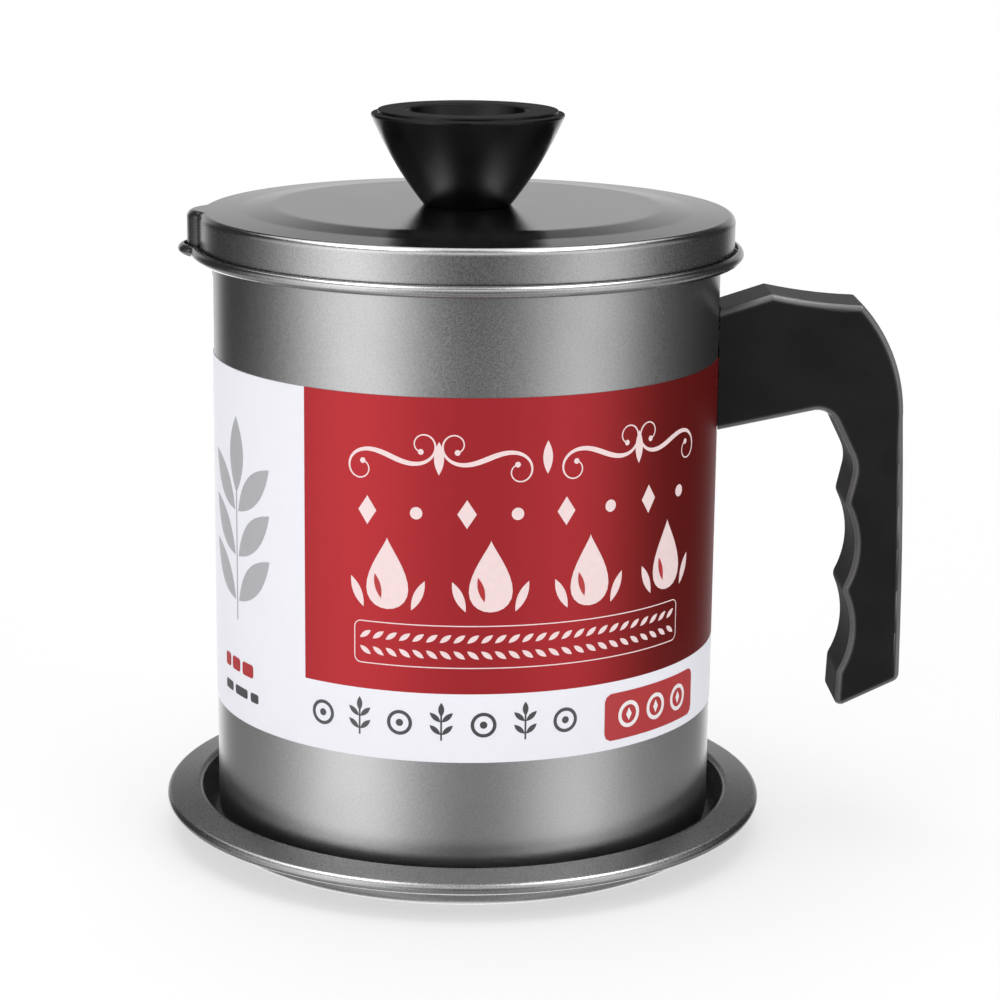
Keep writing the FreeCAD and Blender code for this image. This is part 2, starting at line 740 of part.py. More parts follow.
def make_lid():
    body = new_body("lid_shell")
    sheet = size["lid_sheet"]
    inner = lid_radius - sheet
    stand_off = size["lid_stand_off"]
    fall = size["lid_fall"]
    drum = lip_outline(body, "drum_outside", bead_level, stand_off)
    pad(body, drum, size["lid_drum"])
    fillet(body, size["lid_edge"], at_height(lid_top))
    hollow = lip_outline(body, "drum_inside", bead_level, stand_off - sheet)
    pocket(body, hollow, size["lid_drum"] - sheet)
    fillet(body, size["lid_edge"] - sheet, at_height(lid_ceiling))
    disc = lid_radius - size["lid_margin"]
    foot = disc + size["lid_slope"]
    border = lid_radius - size["lid_border"]
    foot_round = size["lid_foot_round"]
    step_round = size["lid_step_round"]
    raised = Outline(body, "disc_top", "XZ_Plane")
    raised.to(0, lid_ceiling).to(border, lid_ceiling).to(border, lid_top)
    raised.to(foot, lid_top + fall, foot_round).to(disc, disc_top, step_round).to(0, disc_top)
    revolve(body, raised.close())
    under = Outline(body, "disc_under", "XZ_Plane")
    under.to(0, lid_ceiling - sheet).to(border, lid_ceiling - sheet).to(border, lid_ceiling)
    under.to(foot, lid_ceiling + fall, foot_round).to(disc, disc_ceiling, step_round)
    under.to(0, disc_ceiling)
    groove(body, under.close())
    hole = circle_sketch(body, "knob_hole", "XY_Plane", size["lid_hole_radius"], offset=lid_ceiling)
    pocket(body, hole, size["lid_rise"] + sheet + sheet)
    curl = size["lid_curl"]
    middle = (inner + curl, bead_level)
    section = Outline(body, "bead_section", "XZ_Plane")
    section.to(inner, bead_level)
    section.arc(inner + curl, bead_level + curl, curl, middle)
    section.to(inner + curl, bead_level + curl - sheet)
    section.arc(inner + sheet, bead_level, curl - sheet, middle, clockwise=True)
    section = section.close()
    path = lip_outline(body, "bead_path", bead_level, stand_off - sheet + curl)
    pipe(body, section, path)
    return body


# ---------------------------------------------------------------- strainer

def make_strainer_rim():
    """The pressed ring that hangs on the pot's rim, with a flange and a collar."""
    body = new_body("strainer_rim")
    sheet = size["strainer_sheet"]
    outline = Outline(body, "rim_section", "XZ_Plane")
    outline.to(collar_outer - sheet, collar_foot)
    outline.to(collar_outer, collar_foot)
    outline.to(collar_outer, strainer_seat, size["strainer_bend"] - sheet)
    flange = size["pot_radius"] + size["strainer_overhang"]
    outline.to(flange, strainer_seat)
    outline.to(flange, strainer_top)
    outline.to(collar_outer - sheet, strainer_top, size["strainer_bend"])
    revolve(body, outline.close())
    return body


def make_strainer_mesh():
    """The woven basket, as a thin shell of its outer shape."""
    body = new_body("strainer_mesh")
    thickness = size["mesh_sheet"]
    floor_radius = mesh_outer - size["mesh_taper"]
    floor_level = strainer_top - size["mesh_depth"]
    corner = size["mesh_corner"]
    lap_top = collar_foot + size["mesh_lap"]
    outline = Outline(body, "basket_section", "XZ_Plane")
    outline.to(0, floor_level)
    outline.to(floor_radius, floor_level, corner)
    outline.to(mesh_outer, collar_foot)
    outline.to(mesh_outer, lap_top)
    outline.to(mesh_outer - thickness, lap_top)
    outline.to(mesh_outer - thickness, collar_foot)
    outline.to(floor_radius - thickness, floor_level + thickness, corner - thickness)
    outline.to(0, floor_level + thickness)
    revolve(body, outline.close())
    return body


def make_strainer_band():
    """The inner band that clamps the mesh against the collar."""
    body = new_body("strainer_band")
    outer = mesh_outer - size["mesh_sheet"] - size["crimp_gap"]
    inner = outer - size["strainer_sheet"]
    top = collar_foot + size["band_height"]
    outline = Outline(body, "band_section", "XZ_Plane")
    outline.to(inner, collar_foot).to(outer, collar_foot).to(outer, top).to(inner, top)
    revolve(body, outline.close())
    return body


# ---------------------------------------------------------------- knob and its screw

def make_knob():
    body = new_body("knob")
    base = size["knob_base_radius"]
    rim = size["knob_rim_radius"]
    crown = size["knob_crown_radius"]
    lip_level = disc_top + size["knob_cone"]
    lip_top = lip_level + size["knob_lip"]
    top = lip_top + size["knob_crown"]
    well_floor = top - size["knob_well_depth"]
    bore = size["insert_radius"] + size["crimp_gap"]
    bore_end = disc_top + size["insert_length"] + size["crimp_gap"]
    swell = size["knob_swell"]
    swell_middle = arc_middle((base, disc_top), (rim, lip_level), swell, left=True)
    outline = Outline(body, "knob_section", "XZ_Plane")
    outline.to(bore, disc_top)
    outline.to(base, disc_top, size["knob_foot_round"])
    outline.arc(rim, lip_level, swell, swell_middle, rounding=size["knob_edge_round"])
    outline.to(rim, lip_top, size["knob_lip_round"])
    outline.to(crown, lip_top, size["knob_step_round"])
    outline.to(crown, top, size["knob_lip_round"])
    outline.to(size["knob_well_radius"], top, size["knob_mouth_round"])
    outline.to(size["knob_well_floor"], well_floor, size["knob_well_round"])
    outline.to(0, well_floor)
    outline.to(0, bore_end)
    outline.to(bore, bore_end)
    revolve(body, outline.close())
    return body


def make_knob_insert():
    """The threaded insert that is moulded into the knob."""
    body = new_body("knob_insert")
    radius = size["insert_radius"]
    waist = radius - size["insert_groove"]
    thread = size["screw_radius"] + size["thread_gap"]
    third = size["insert_length"] / 3
    top = disc_top + size["insert_length"]
    outline = Outline(body, "insert_section", "XZ_Plane")
    outline.to(thread, disc_top).to(radius, disc_top)
    outline.to(radius, disc_top + third).to(waist, disc_top + third)
    outline.to(waist, top - third).to(radius, top - third)
    outline.to(radius, top).to(thread, top)
    revolve(body, outline.close())
    return body


def make_ring(label, inner, outer, thickness):
    """A flat washer on the XY plane, to be placed by its own Placement."""
    body = new_body(label)
    sketch = new_sketch(body, f"{label}_ring", "XY_Plane")
    rules = Rules(sketch)
    for radius in (outer, inner):
        circle = Part.Circle(Vector(), Vector(0, 0, 1), as_size(radius).value)
        number = sketch.addGeometry(circle, False)
        rules.add("Coincident", number, CENTRE, *ORIGIN)
        rules.drive("Radius", number, radius)
    rules.apply()
    pad(body, sketch, thickness)
    return body


def make_screw(label, length):
    """A pan-head screw: its seat is on Z = 0, its head above and its shank below."""
    body = new_body(label)
    head = size["screw_head_radius"]
    height = size["screw_head_height"]
    shank = size["screw_radius"]
    point = size["screw_point"]
    outline = Outline(body, f"{label}_section", "XZ_Plane")
    outline.to(0, -length)
    outline.to(shank - point, -length)
    outline.to(shank, point - length)
    outline.to(shank, 0)
    outline.to(head, 0)
    outline.to(head, height, size["screw_head_round"])
    outline.to(0, height)
    revolve(body, outline.close())
    narrow = size["screw_slot_width"] / 2
    wide = size["screw_slot_length"] / 2
    for name, across, along in (("slot", wide, narrow), ("cross_slot", narrow, wide)):
        slot = rectangle_sketch(body, f"{label}_{name}", "XY_Plane",
                                (-across, -along), (across, along), offset=height)
        pocket(body, slot, size["screw_slot_depth"], forwards=False)
    return body


def place(body, across, up, rotation):
    """Put a body in the pot's XZ plane, and tie its place to the sheet."""
    body.Placement = Placement(Vector(as_size(across).value, 0, as_size(up).value), rotation)
    body.setExpression("Placement.Base.x", as_size(across).formula)
    body.setExpression("Placement.Base.z", as_size(up).formula)
    return body


def make_knob_fasteners():
    upside_down = Rotation(Vector(1, 0, 0), 180)
    washer = make_ring("knob_washer", screw_hole, size["washer_radius"], size["washer_sheet"])
    place(washer, 0, disc_ceiling, upside_down)
    screw = make_screw("knob_screw", size["knob_screw_length"])
    place(screw, 0, disc_ceiling - size["washer_sheet"], upside_down)
    return [washer, screw]


# ---------------------------------------------------------------- handle

def make_handle():
    body = new_body("handle")
    draw_handle_side(body)
    cut_handle_end(body)
    round_sides(body)
    cut_handle_socket(body)
    return body


def on_handle(across, up):
    """A corner of the handle's side view, from the names of its distance and height."""
    return size["pot_radius"] + size[across], size["handle_axis"] + size[up]


def draw_handle_side(body):
    """The handle's side view: arm, thumb rest, shoulder, and a grip with hollows for the fingers."""
    crisp = size["handle_crisp_round"]
    ridge_round = size["finger_ridge_round"]
    hollow = size["finger_hollow"]
    tip = on_handle("thumb_tip_x", "thumb_tip_z")
    end = on_handle("thumb_end_x", "thumb_end_z")
    back = on_handle("grip_top_x", "grip_top_z")
    heel = on_handle("grip_end_x", "grip_end_z")
    low = on_handle("grip_front_x", "finger_end")
    middle = on_handle("finger_ridge_x", "finger_ridge_two")
    high = on_handle("finger_ridge_x", "finger_ridge_one")
    inside = size["pot_radius"] - size["handle_round"]
    outline = Outline(body, "handle_side", "XZ_Plane")
    outline.to(inside, size["handle_axis"] + size["arm_top"])
    outline.to(*tip, crisp)
    outline.arc(*end, size["thumb_hollow"],
                arc_middle(tip, end, size["thumb_hollow"], left=True), rounding=crisp)
    outline.arc(*back, size["shoulder_radius"],
                arc_middle(end, back, size["shoulder_radius"], left=False), clockwise=True)
    outline.arc(*heel, size["grip_bow"], arc_middle(back, heel, size["grip_bow"], left=False),
                clockwise=True, rounding=size["grip_corner_round"])
    outline.to(*on_handle("grip_toe_x", "grip_toe_z"), size["grip_toe_round"])
    outline.to(*low, ridge_round)
    outline.arc(*middle, hollow, arc_middle(low, middle, hollow, left=True), rounding=ridge_round)
    outline.arc(*high, hollow, arc_middle(middle, high, hollow, left=True), rounding=ridge_round)
    outline.to(*on_handle("first_finger_x", "first_finger_z"), size["first_finger_round"])
    outline.to(*on_handle("arm_crook_x", "arm_crook_z"), size["crook_round"])
    outline.to(inside, size["handle_axis"] + size["arm_bottom"])
    pad(body, outline.close(), size["handle_width"], symmetric=True)


def round_sides(body):
    half = size["handle_width"].value / 2

    def wanted(edge):
        box = edge.BoundBox
        on_side = abs(abs(box.YMin) - half) < NEAR and box.YLength < NEAR
        return on_side and box.XMax > size["pot_radius"].value

    fillet(body, size["handle_round"], wanted)


def cut_handle_end(body):
    """Shape the arm's end to the pot's wall."""
    reach = size["pot_radius"] + size["handle_gap"]
    height = size["thumb_tip_z"] - size["grip_toe_z"] + PAST
    above = size["handle_axis"] + size["thumb_tip_z"] + PAST
    sketch = circle_sketch(body, "wall_clearance", "XY_Plane", reach, offset=above)
    pocket(body, sketch, height, forwards=False)


def cut_handle_socket(body):
    """The socket for the bracket, the bore for the screw and the well for its head."""
    gap = size["socket_gap"]
    level = size["handle_axis"]
    half_width = size["bracket_width"] / 2 + gap
    half_loop = size["bracket_height"] / 2 + gap
    half_feet = half_loop + size["bracket_foot"] + gap
    wall = size["pot_radius"]
    socket = rectangle_sketch(body, "socket", "YZ_Plane",
                              (-half_width, level - half_loop), (half_width, level + half_loop))
    pocket(body, socket, wall + size["bracket_reach"] + gap)
    recess = rectangle_sketch(body, "foot_recess", "YZ_Plane",
                              (-half_width, level - half_feet), (half_width, level + half_feet))
    pocket(body, recess, wall + size["bracket_sheet"] + gap)
    bore = circle_sketch(body, "screw_bore", "YZ_Plane", size["screw_bore_radius"], up=level)
    pocket(body, bore, screw_seat + PAST)
    well = circle_sketch(body, "screw_well", "YZ_Plane", size["screw_well_radius"],
                         up=level, offset=screw_seat)
    pocket(body, well, size["shoulder_radius"])


def make_handle_bracket():
    """A bent steel strap whose two feet are welded to the pot's wall."""
    body = new_body("handle_bracket")
    sheet = size["bracket_sheet"]
    level = size["handle_axis"]
    wall = size["pot_radius"]
    end = wall + size["bracket_reach"]
    half = size["bracket_height"] / 2
    foot = half + size["bracket_foot"]
    bend = size["bracket_bend"]
    behind = wall - sheet
    outline = Outline(body, "strap_side", "XZ_Plane")
    outline.to(behind, level - foot).to(wall + sheet, level - foot)
    outline.to(wall + sheet, level - half)
    outline.to(end, level - half, bend)
    outline.to(end, level + half, bend)
    outline.to(wall + sheet, level + half)
    outline.to(wall + sheet, level + foot).to(behind, level + foot)
    pad(body, outline.close(), size["bracket_width"], symmetric=True)
    inside = rectangle_sketch(body, "strap_inside", "XZ_Plane",
                              (0, level - half + sheet), (end - sheet, level + half - sheet))
    pocket(body, inside, size["bracket_width"] + PAST * 2, symmetric=True)
    clearance = circle_sketch(body, "wall_face", "XY_Plane", wall, offset=level + foot + PAST)
    pocket(body, clearance, (foot + PAST) * 2, forwards=False)
    hole = circle_sketch(body, "screw_hole", "YZ_Plane", screw_hole,
                         up=level, offset=end - sheet - PAST)
    pocket(body, hole, sheet + PAST * 2)
    return body


def make_bracket_nut():
    """The square nut welded inside the strap's loop."""
    body = new_body("bracket_nut")
    half = size["nut_width"] / 2
    level = size["handle_axis"]
    outline = Outline(body, "nut_face", "YZ_Plane", nut_face - size["nut_height"])
    outline.to(-half, level - half).to(half, level - half).to(half, level + half).to(-half, level + half)
    pad(body, outline.close(), size["nut_height"])
    thread = circle_sketch(body, "nut_thread", "YZ_Plane", size["screw_radius"] + size["thread_gap"],
                           up=level, offset=nut_face - size["nut_height"] - PAST)
    pocket(body, thread, size["nut_height"] + PAST * 2)
    return body


def make_handle_fasteners():
    pointing_out = Rotation(Vector(0, 1, 0), 90)
    outer = size["lock_washer_radius"]
    washer = make_ring("handle_lock_washer", screw_hole, outer, size["lock_washer_sheet"])
    half = size["lock_washer_slit"] / 2
    slit = rectangle_sketch(washer, "washer_slit", "XY_Plane", (0, -half), (outer + PAST, half))
    pocket(washer, slit, size["lock_washer_sheet"])
    place(washer, screw_seat, size["handle_axis"], pointing_out)
    seat = screw_seat + size["lock_washer_sheet"]
    screw = make_screw("handle_screw", seat - nut_face + size["nut_height"])
    place(screw, seat, size["handle_axis"], pointing_out)
    return [washer, screw]


# ---------------------------------------------------------------- paper sleeve

def make_label_sleeve():
    """The printed paper round the pot, notched for the handle and open along a seam."""
    body = new_body("label_sleeve")
    inner = size["pot_radius"] + size["label_gap"]
    outer = inner + size["label_paper"]
    outline = Outline(body, "sleeve_section", "XZ_Plane")
    outline.to(inner, size["label_bottom"]).to(outer, size["label_bottom"])
    outline.to(outer, size["label_top"]).to(inner, size["label_top"])
    revolve(body, outline.close())
    half = size["handle_width"] / 2 + size["label_notch_gap"]
    low = size["handle_axis"] + size["arm_bottom"] - size["label_notch_gap"]
    notch = rectangle_sketch(body, "handle_notch", "YZ_Plane",
                             (-half, low), (half, size["label_top"] + PAST))
    pocket(body, notch, outer + PAST)
    seam = size["label_seam"] / 2
    slit = rectangle_sketch(body, "sleeve_seam", "YZ_Plane",
                            (-seam, size["label_bottom"] - PAST), (seam, low + PAST))
    pocket(body, slit, outer + PAST)
    return body


# ---------------------------------------------------------------- checks and files

def check_document(bodies):
    """Stop before anything is written if an object or a sub-part failed."""
    for item in doc.Objects:
        if "Invalid" in item.State or "Error" in item.State:
            raise RuntimeError(f"{item.Name} is {item.State}")
    for body in bodies:
        if body.Shape.isNull() or not body.Shape.isValid():
            raise RuntimeError(f"{body.Label} has no valid shape")


def write_parts(bodies):
    os.makedirs("parts", exist_ok=True)
    for body in bodies:
        body.Shape.exportStep(f"parts/{body.Label}.step")
        print(f"{body.Label}: {len(body.Shape.Solids)} solid, {body.Shape.Volume:.0f} mm3")


bodies = [
    make_tray(),
    make_pot_body(), make_label_sleeve(),
    make_handle_bracket(), make_bracket_nut(), make_handle(), *make_handle_fasteners(),
    make_strainer_rim(), make_strainer_mesh(), make_strainer_band(),
    make_lid(), make_knob(), make_knob_insert(), *make_knob_fasteners(),
]
doc.recompute()
check_document(bodies)
write_parts(bodies)
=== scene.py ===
"""Looks of the strainer pot: finishes, print, the woven basket, a finer saucer and lid, and the studio.

Metres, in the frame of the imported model. +Z is up, the handle points along +X, and angles round
the pot are counted from +X, anticlockwise seen from above. The camera looks from about -Y.
"""
import json
import math

import bmesh
import bpy
from mathutils import Matrix, Vector


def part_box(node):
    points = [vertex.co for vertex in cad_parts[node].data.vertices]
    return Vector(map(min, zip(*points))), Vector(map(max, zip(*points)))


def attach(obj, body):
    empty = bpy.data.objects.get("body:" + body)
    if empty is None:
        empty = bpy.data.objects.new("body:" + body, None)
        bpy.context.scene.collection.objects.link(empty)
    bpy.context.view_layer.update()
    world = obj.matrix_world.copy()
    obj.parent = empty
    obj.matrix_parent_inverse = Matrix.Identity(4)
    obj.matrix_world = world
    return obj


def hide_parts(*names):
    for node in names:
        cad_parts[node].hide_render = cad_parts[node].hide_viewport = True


MM = 0.001

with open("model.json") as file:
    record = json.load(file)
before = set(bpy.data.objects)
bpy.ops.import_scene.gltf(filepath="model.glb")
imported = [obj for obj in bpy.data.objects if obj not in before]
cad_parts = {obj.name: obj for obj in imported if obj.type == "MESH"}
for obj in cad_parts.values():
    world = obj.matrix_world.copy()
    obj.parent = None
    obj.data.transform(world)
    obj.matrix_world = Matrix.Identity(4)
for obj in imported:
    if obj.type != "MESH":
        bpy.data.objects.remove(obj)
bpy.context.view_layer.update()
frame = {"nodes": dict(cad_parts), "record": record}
nodes = frame["nodes"]


def degrees(*angles):
    """The angles in radians."""
    return [math.radians(angle) for angle in angles]


# ---------------------------------------------------------------- finishes

class Shading:
    """A node tree, with short ways to add nodes to it. Their values are sockets or plain numbers."""

    def __init__(self, tree):
        self.tree = tree

    def node(self, kind, sockets=None, **settings):
        made = self.tree.nodes.new(kind)
        for name, value in settings.items():
            setattr(made, name, value)
        for name, value in (sockets or {}).items():
            self.join(value, made.inputs[name])
        return made

    def join(self, value, socket):
        """Link an output to the socket, or set a plain value on it."""
        if isinstance(value, bpy.types.NodeSocket):
            self.tree.links.new(value, socket)
        else:
            socket.default_value = value

    def calculate(self, operation, first, second=0.0):
        return self.node("ShaderNodeMath", {0: first, 1: second}, operation=operation).outputs[0]

    def add(self, first, *others):
        for other in others:
            first = self.calculate("ADD", first, other)
        return first

    def times(self, first, *others):
        for other in others:
            first = self.calculate("MULTIPLY", first, other)
        return first

    def split(self, vector):
        return self.node("ShaderNodeSeparateXYZ", {0: vector}).outputs

    def rise(self, value, level, soft):
        """From 0 below the level to 1 above it, or the other way with a negative width."""
        return self.change(value, level - soft / 2, level + soft / 2, 0.0, 1.0)

    def between(self, value, low, high, soft):
        """1 where the value lies between low and high, with soft edges, and 0 elsewhere."""
        return self.times(self.rise(value, low, soft), self.rise(value, high, -soft))

    def change(self, value, start, end, first, last):
        """From first where the value is start to last where it is end, and level beyond both."""
        made = self.node("ShaderNodeMapRange", {
            "Value": value, "From Min": start, "From Max": end, "To Min": first, "To Max": last},
            interpolation_type="SMOOTHSTEP")
        return made.outputs["Result"]

    def bell(self, value, middle, before, after):
        """A bell curve of height 1 round the middle, with its own width on each side."""
        offset = self.calculate("SUBTRACT", value, middle)
        falls = []
        for operation, width in (("MINIMUM", before), ("MAXIMUM", after)):
            part = self.calculate("DIVIDE", self.calculate(operation, offset, 0.0), width)
            falls.append(self.times(part, part, -0.5))
        return self.calculate("EXPONENT", self.add(*falls))


class Finish(Shading):
    """A procedural material."""

    def __init__(self, name, colour, **constants):
        self.material = bpy.data.materials.new(name)
        self.material.use_nodes = True
        super().__init__(self.material.node_tree)
        self.shader = self.tree.nodes["Principled BSDF"]
        self.shader.inputs["Base Color"].default_value = (*colour, 1)
        for socket, value in constants.items():
            self.shader.inputs[socket.replace("_", " ")].default_value = value
        self.places = self.node("ShaderNodeTexCoord").outputs["Object"]

    def noise(self, size, detail=2.0, stretch=(1, 1, 1)):
        """Noise whose grains are about one size across, in metres, stretched along the axes."""
        places = self.node("ShaderNodeMapping", {"Vector": self.places, "Scale": stretch})
        made = self.node("ShaderNodeTexNoise", {
            "Vector": places.outputs[0], "Scale": 1 / size, "Detail": detail})
        return made.outputs["Fac"]

    def spread(self, noise, low, high, width=0.3):
        """Turn noise, which lies round 0.5, into values from low to high."""
        return self.change(noise, 0.5 - width / 2, 0.5 + width / 2, low, high)

    def blend(self, share, first, second):
        made = self.node("ShaderNodeMix", data_type="RGBA")
        self.join(share, made.inputs["Factor"])
        self.join(first, made.inputs["A"])
        self.join(second, made.inputs["B"])
        return made.outputs["Result"]

    def bump(self, height, depth, strength=1.0):
        made = self.node("ShaderNodeBump", {"Height": height, "Distance": depth, "Strength": strength})
        self.join(made.outputs["Normal"], self.shader.inputs["Normal"])

    def use(self, socket, value):
        self.join(value, self.shader.inputs[socket])


def rgba(red, green, blue):
    return (red, green, blue, 1)


def add_piece(name, points, faces, material, body, node=None):
    """A visible piece that rides on a body, in place of the CAD node that is named."""
    mesh = bpy.data.meshes.new(name)
    mesh.from_pydata(points, [], faces)
    mesh.materials.append(material)
    piece = bpy.data.objects.new(name, mesh)
    bpy.context.scene.collection.objects.link(piece)
    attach(piece, body)
    if node:
        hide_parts(node)
    return mesh


def coated_steel(name, smoothest, roughest, painted_darkening=1.0, grit=0.3, upright=0.0):
    """Grey non-stick coating with fine metallic flakes.

    A darkening factor below 1 paints the coating darker to stand in for shade, and upright is how much
    rougher the upright faces are.
    """
    finish = Finish(name, (0.4, 0.4, 0.405), Metallic=1.0)
    grain = finish.noise(0.4 * MM, detail=3)
    cloud = finish.noise(30 * MM)
    tone = finish.add(finish.spread(grain, 0.0, 0.7), finish.spread(cloud, 0.0, 0.3))
    # painted shade: the darkening factor scales both greys of the coating
    dark = rgba(0.35 * painted_darkening, 0.35 * painted_darkening, 0.354 * painted_darkening)
    pale = rgba(0.45 * painted_darkening, 0.45 * painted_darkening, 0.455 * painted_darkening)
    finish.use("Base Color", finish.blend(tone, dark, pale))
    upward = finish.split(finish.node("ShaderNodeNewGeometry").outputs["Normal"])[2]
    walls = finish.rise(finish.calculate("ABSOLUTE", upward), 0.3, -0.4)
    finish.use("Roughness", finish.add(
        finish.spread(grain, smoothest, roughest), finish.times(walls, upright)))
    finish.bump(grain, 0.02 * MM, grit)
    return finish.material


def brushed_steel():
    """Stainless steel with fine lines round the pot's axis."""
    finish = Finish("strainer_steel", (0.62, 0.62, 0.63), Metallic=1.0)
    lines = finish.noise(0.4 * MM, detail=2, stretch=(0.05, 0.05, 1))
    finish.use("Base Color", finish.blend(
        finish.spread(lines, 0, 1), rgba(0.55, 0.55, 0.56), rgba(0.7, 0.7, 0.7)))
    finish.use("Roughness", finish.spread(lines, 0.2, 0.34))
    finish.bump(lines, 0.01 * MM, 0.3)
    return finish.material


def zinc():
    """Zinc plating with a faint cloud in it."""
    finish = Finish("zinc", (0.58, 0.58, 0.6), Metallic=1.0)
    cloud = finish.noise(1.5 * MM, detail=4)
    finish.use("Base Color", finish.blend(
        finish.spread(cloud, 0, 1), rgba(0.5, 0.5, 0.5), rgba(0.66, 0.66, 0.68)))
    finish.use("Roughness", finish.spread(cloud, 0.25, 0.42))
    return finish.material


def brass():
    """Brass with faint turning marks."""
    finish = Finish("turned_brass", (0.7, 0.5, 0.22), Metallic=1.0)
    rings = finish.noise(0.5 * MM, stretch=(0.1, 0.1, 1))
    finish.use("Roughness", finish.spread(rings, 0.2, 0.4))
    return finish.material


def handle_black():
    """Moulded phenolic with a fine grain, painted paler on its rounded edges as a highlight, and dull along
    the fingers.
    """
    finish = Finish("handle_black", (0.005, 0.005, 0.006), Specular_IOR_Level=0.3)
    grain = finish.noise(0.35 * MM, detail=3)
    cloud = finish.noise(14 * MM, detail=3)
    toward, side, _ = finish.split(finish.node("ShaderNodeNewGeometry").outputs["Normal"])
    level = finish.calculate("ABSOLUTE", side)      # 0 on the grip's edge faces, 1 on its flat sides
    edges = finish.between(level, 0.22, 0.92, 0.16)
    # painted highlight: the rounded edges get a pale grey in place of the black, standing in for their
    # shine
    painted_edge_highlight = finish.times(edges, finish.spread(cloud, 0.75, 1.0))
    black = finish.blend(finish.spread(cloud, 0, 1), rgba(0.003, 0.003, 0.0035), rgba(0.006, 0.006, 0.007))
    finish.use("Base Color", finish.blend(painted_edge_highlight, black, rgba(0.15, 0.15, 0.155)))
    fingers = finish.times(finish.rise(toward, -0.5, -0.4), finish.rise(level, 0.3, -0.2))
    finish.use("Roughness", finish.add(
        finish.spread(grain, 0.38, 0.46), finish.times(edges, -0.12), finish.times(fingers, 0.4)))
    finish.bump(grain, 0.02 * MM, 0.3)
    return finish.material


def knob_black():
    """Polished phenolic, left dull on its top."""
    finish = Finish("knob_black", (0.004, 0.004, 0.004), Specular_IOR_Level=0.2)
    cloud = finish.noise(8 * MM, detail=4)
    finish.use("Base Color", finish.blend(
        finish.spread(cloud, 0, 1), rgba(0.001, 0.001, 0.001), rgba(0.003, 0.003, 0.003)))
    upward = finish.split(finish.node("ShaderNodeNewGeometry").outputs["Normal"])[2]
    top = finish.rise(upward, 0.6, 0.4)
    finish.use("Roughness", finish.add(finish.spread(cloud, 0.16, 0.22), finish.times(top, 0.6)))
    return finish.material


# ---------------------------------------------------------------- printed sleeve

PAPER_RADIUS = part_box("label_sleeve")[1].y
PANEL_START = math.radians(-128.3)      # where the red panel starts, round the pot
PANEL_PAINTED_SHADE = degrees(-56, 36)           # middle and width of the red's painted shade, darker towards the handle's side
PANEL_FOOT = 53.3 * MM                  # height of the red panel's lower edge


def printed_paper():
    """Satin coated paper: white, with a panel of metallic red ink above a white band, the red painted
    darker towards the handle's side as shade.
    """
    finish = Finish("printed_paper", (0.86, 0.86, 0.9), Roughness=0.48, Specular_IOR_Level=0.3)
    x, y, z = finish.split(finish.places)
    angle = finish.calculate("ARCTAN2", y, x)
    beside = finish.between(angle, PANEL_START, 0.0, 0.002)
    above = finish.rise(z, PANEL_FOOT, 0.1 * MM)
    panel = finish.times(beside, above)
    # painted shade: the red panel turns from bright red to dark red towards the handle's side
    painted_shade = finish.rise(angle, *PANEL_PAINTED_SHADE)
    red = finish.blend(painted_shade, rgba(0.43, 0.026, 0.033), rgba(0.17, 0.005, 0.004))
    white = finish.blend(finish.noise(4 * MM), rgba(0.86, 0.86, 0.915), rgba(0.88, 0.88, 0.935))
    finish.use("Base Color", finish.blend(panel, white, red))
    finish.use("Metallic", finish.times(panel, 0.55))
    fibre = finish.noise(0.6 * MM, detail=3)
    finish.bump(fibre, 0.01 * MM, 0.2)
    return finish.material


def ink(name, colour):
    """Printing ink, a little uneven, on satin paper."""
    finish = Finish(name, colour, Roughness=0.4)
    pale = [min(1.0, channel * 1.12) for channel in colour]
    finish.use("Base Color", finish.blend(finish.noise(1.5 * MM), rgba(*colour), rgba(*pale)))
    return finish.material


FINISHES = {
    "coated_steel": coated_steel("coated_steel", 0.28, 0.35),
    "mesh_steel": brushed_steel(),
    "fastener_steel": zinc(),
    "handle_plastic": handle_black(),
    "knob_plastic": knob_black(),
    "insert_brass": brass(),
    "label_paper": printed_paper(),
}
OWN_FINISHES = {
    "lid_shell": coated_steel("lid_coat", 0.15, 0.2, grit=0.15, upright=0.11),
    # the saucer's copy of the coating is painted darker, standing in for shade
    "tray": coated_steel("tray_coat", 0.27, 0.31, painted_darkening=0.85, grit=0.04),
}
for part in frame["record"]["subparts"]:
    mesh = nodes[part["node"]].data
    mesh.materials.clear()
    mesh.materials.append(OWN_FINISHES.get(part["node"], FINISHES[part["material_slot"]]))


# ---------------------------------------------------------------- printed marks

INK_RISE = (-0.01 * MM, 0.04 * MM)      # a mark's underside and face, from the paper's own face
HAIR = 0.04                             # half the width of a stroke's pointed end, in millimetres
LANE = 1.2                              # widest lane of a broad stroke
STEPS = 14                              # steps along a blade, and along half a ring
CORNER_STEPS = 4
BOX_STEP = 1.5                          # longest step along a box's side
SCROLL_STEPS = 60
SCROLL_REACH = 3.6                      # length of a scroll's arm, for a size of 1


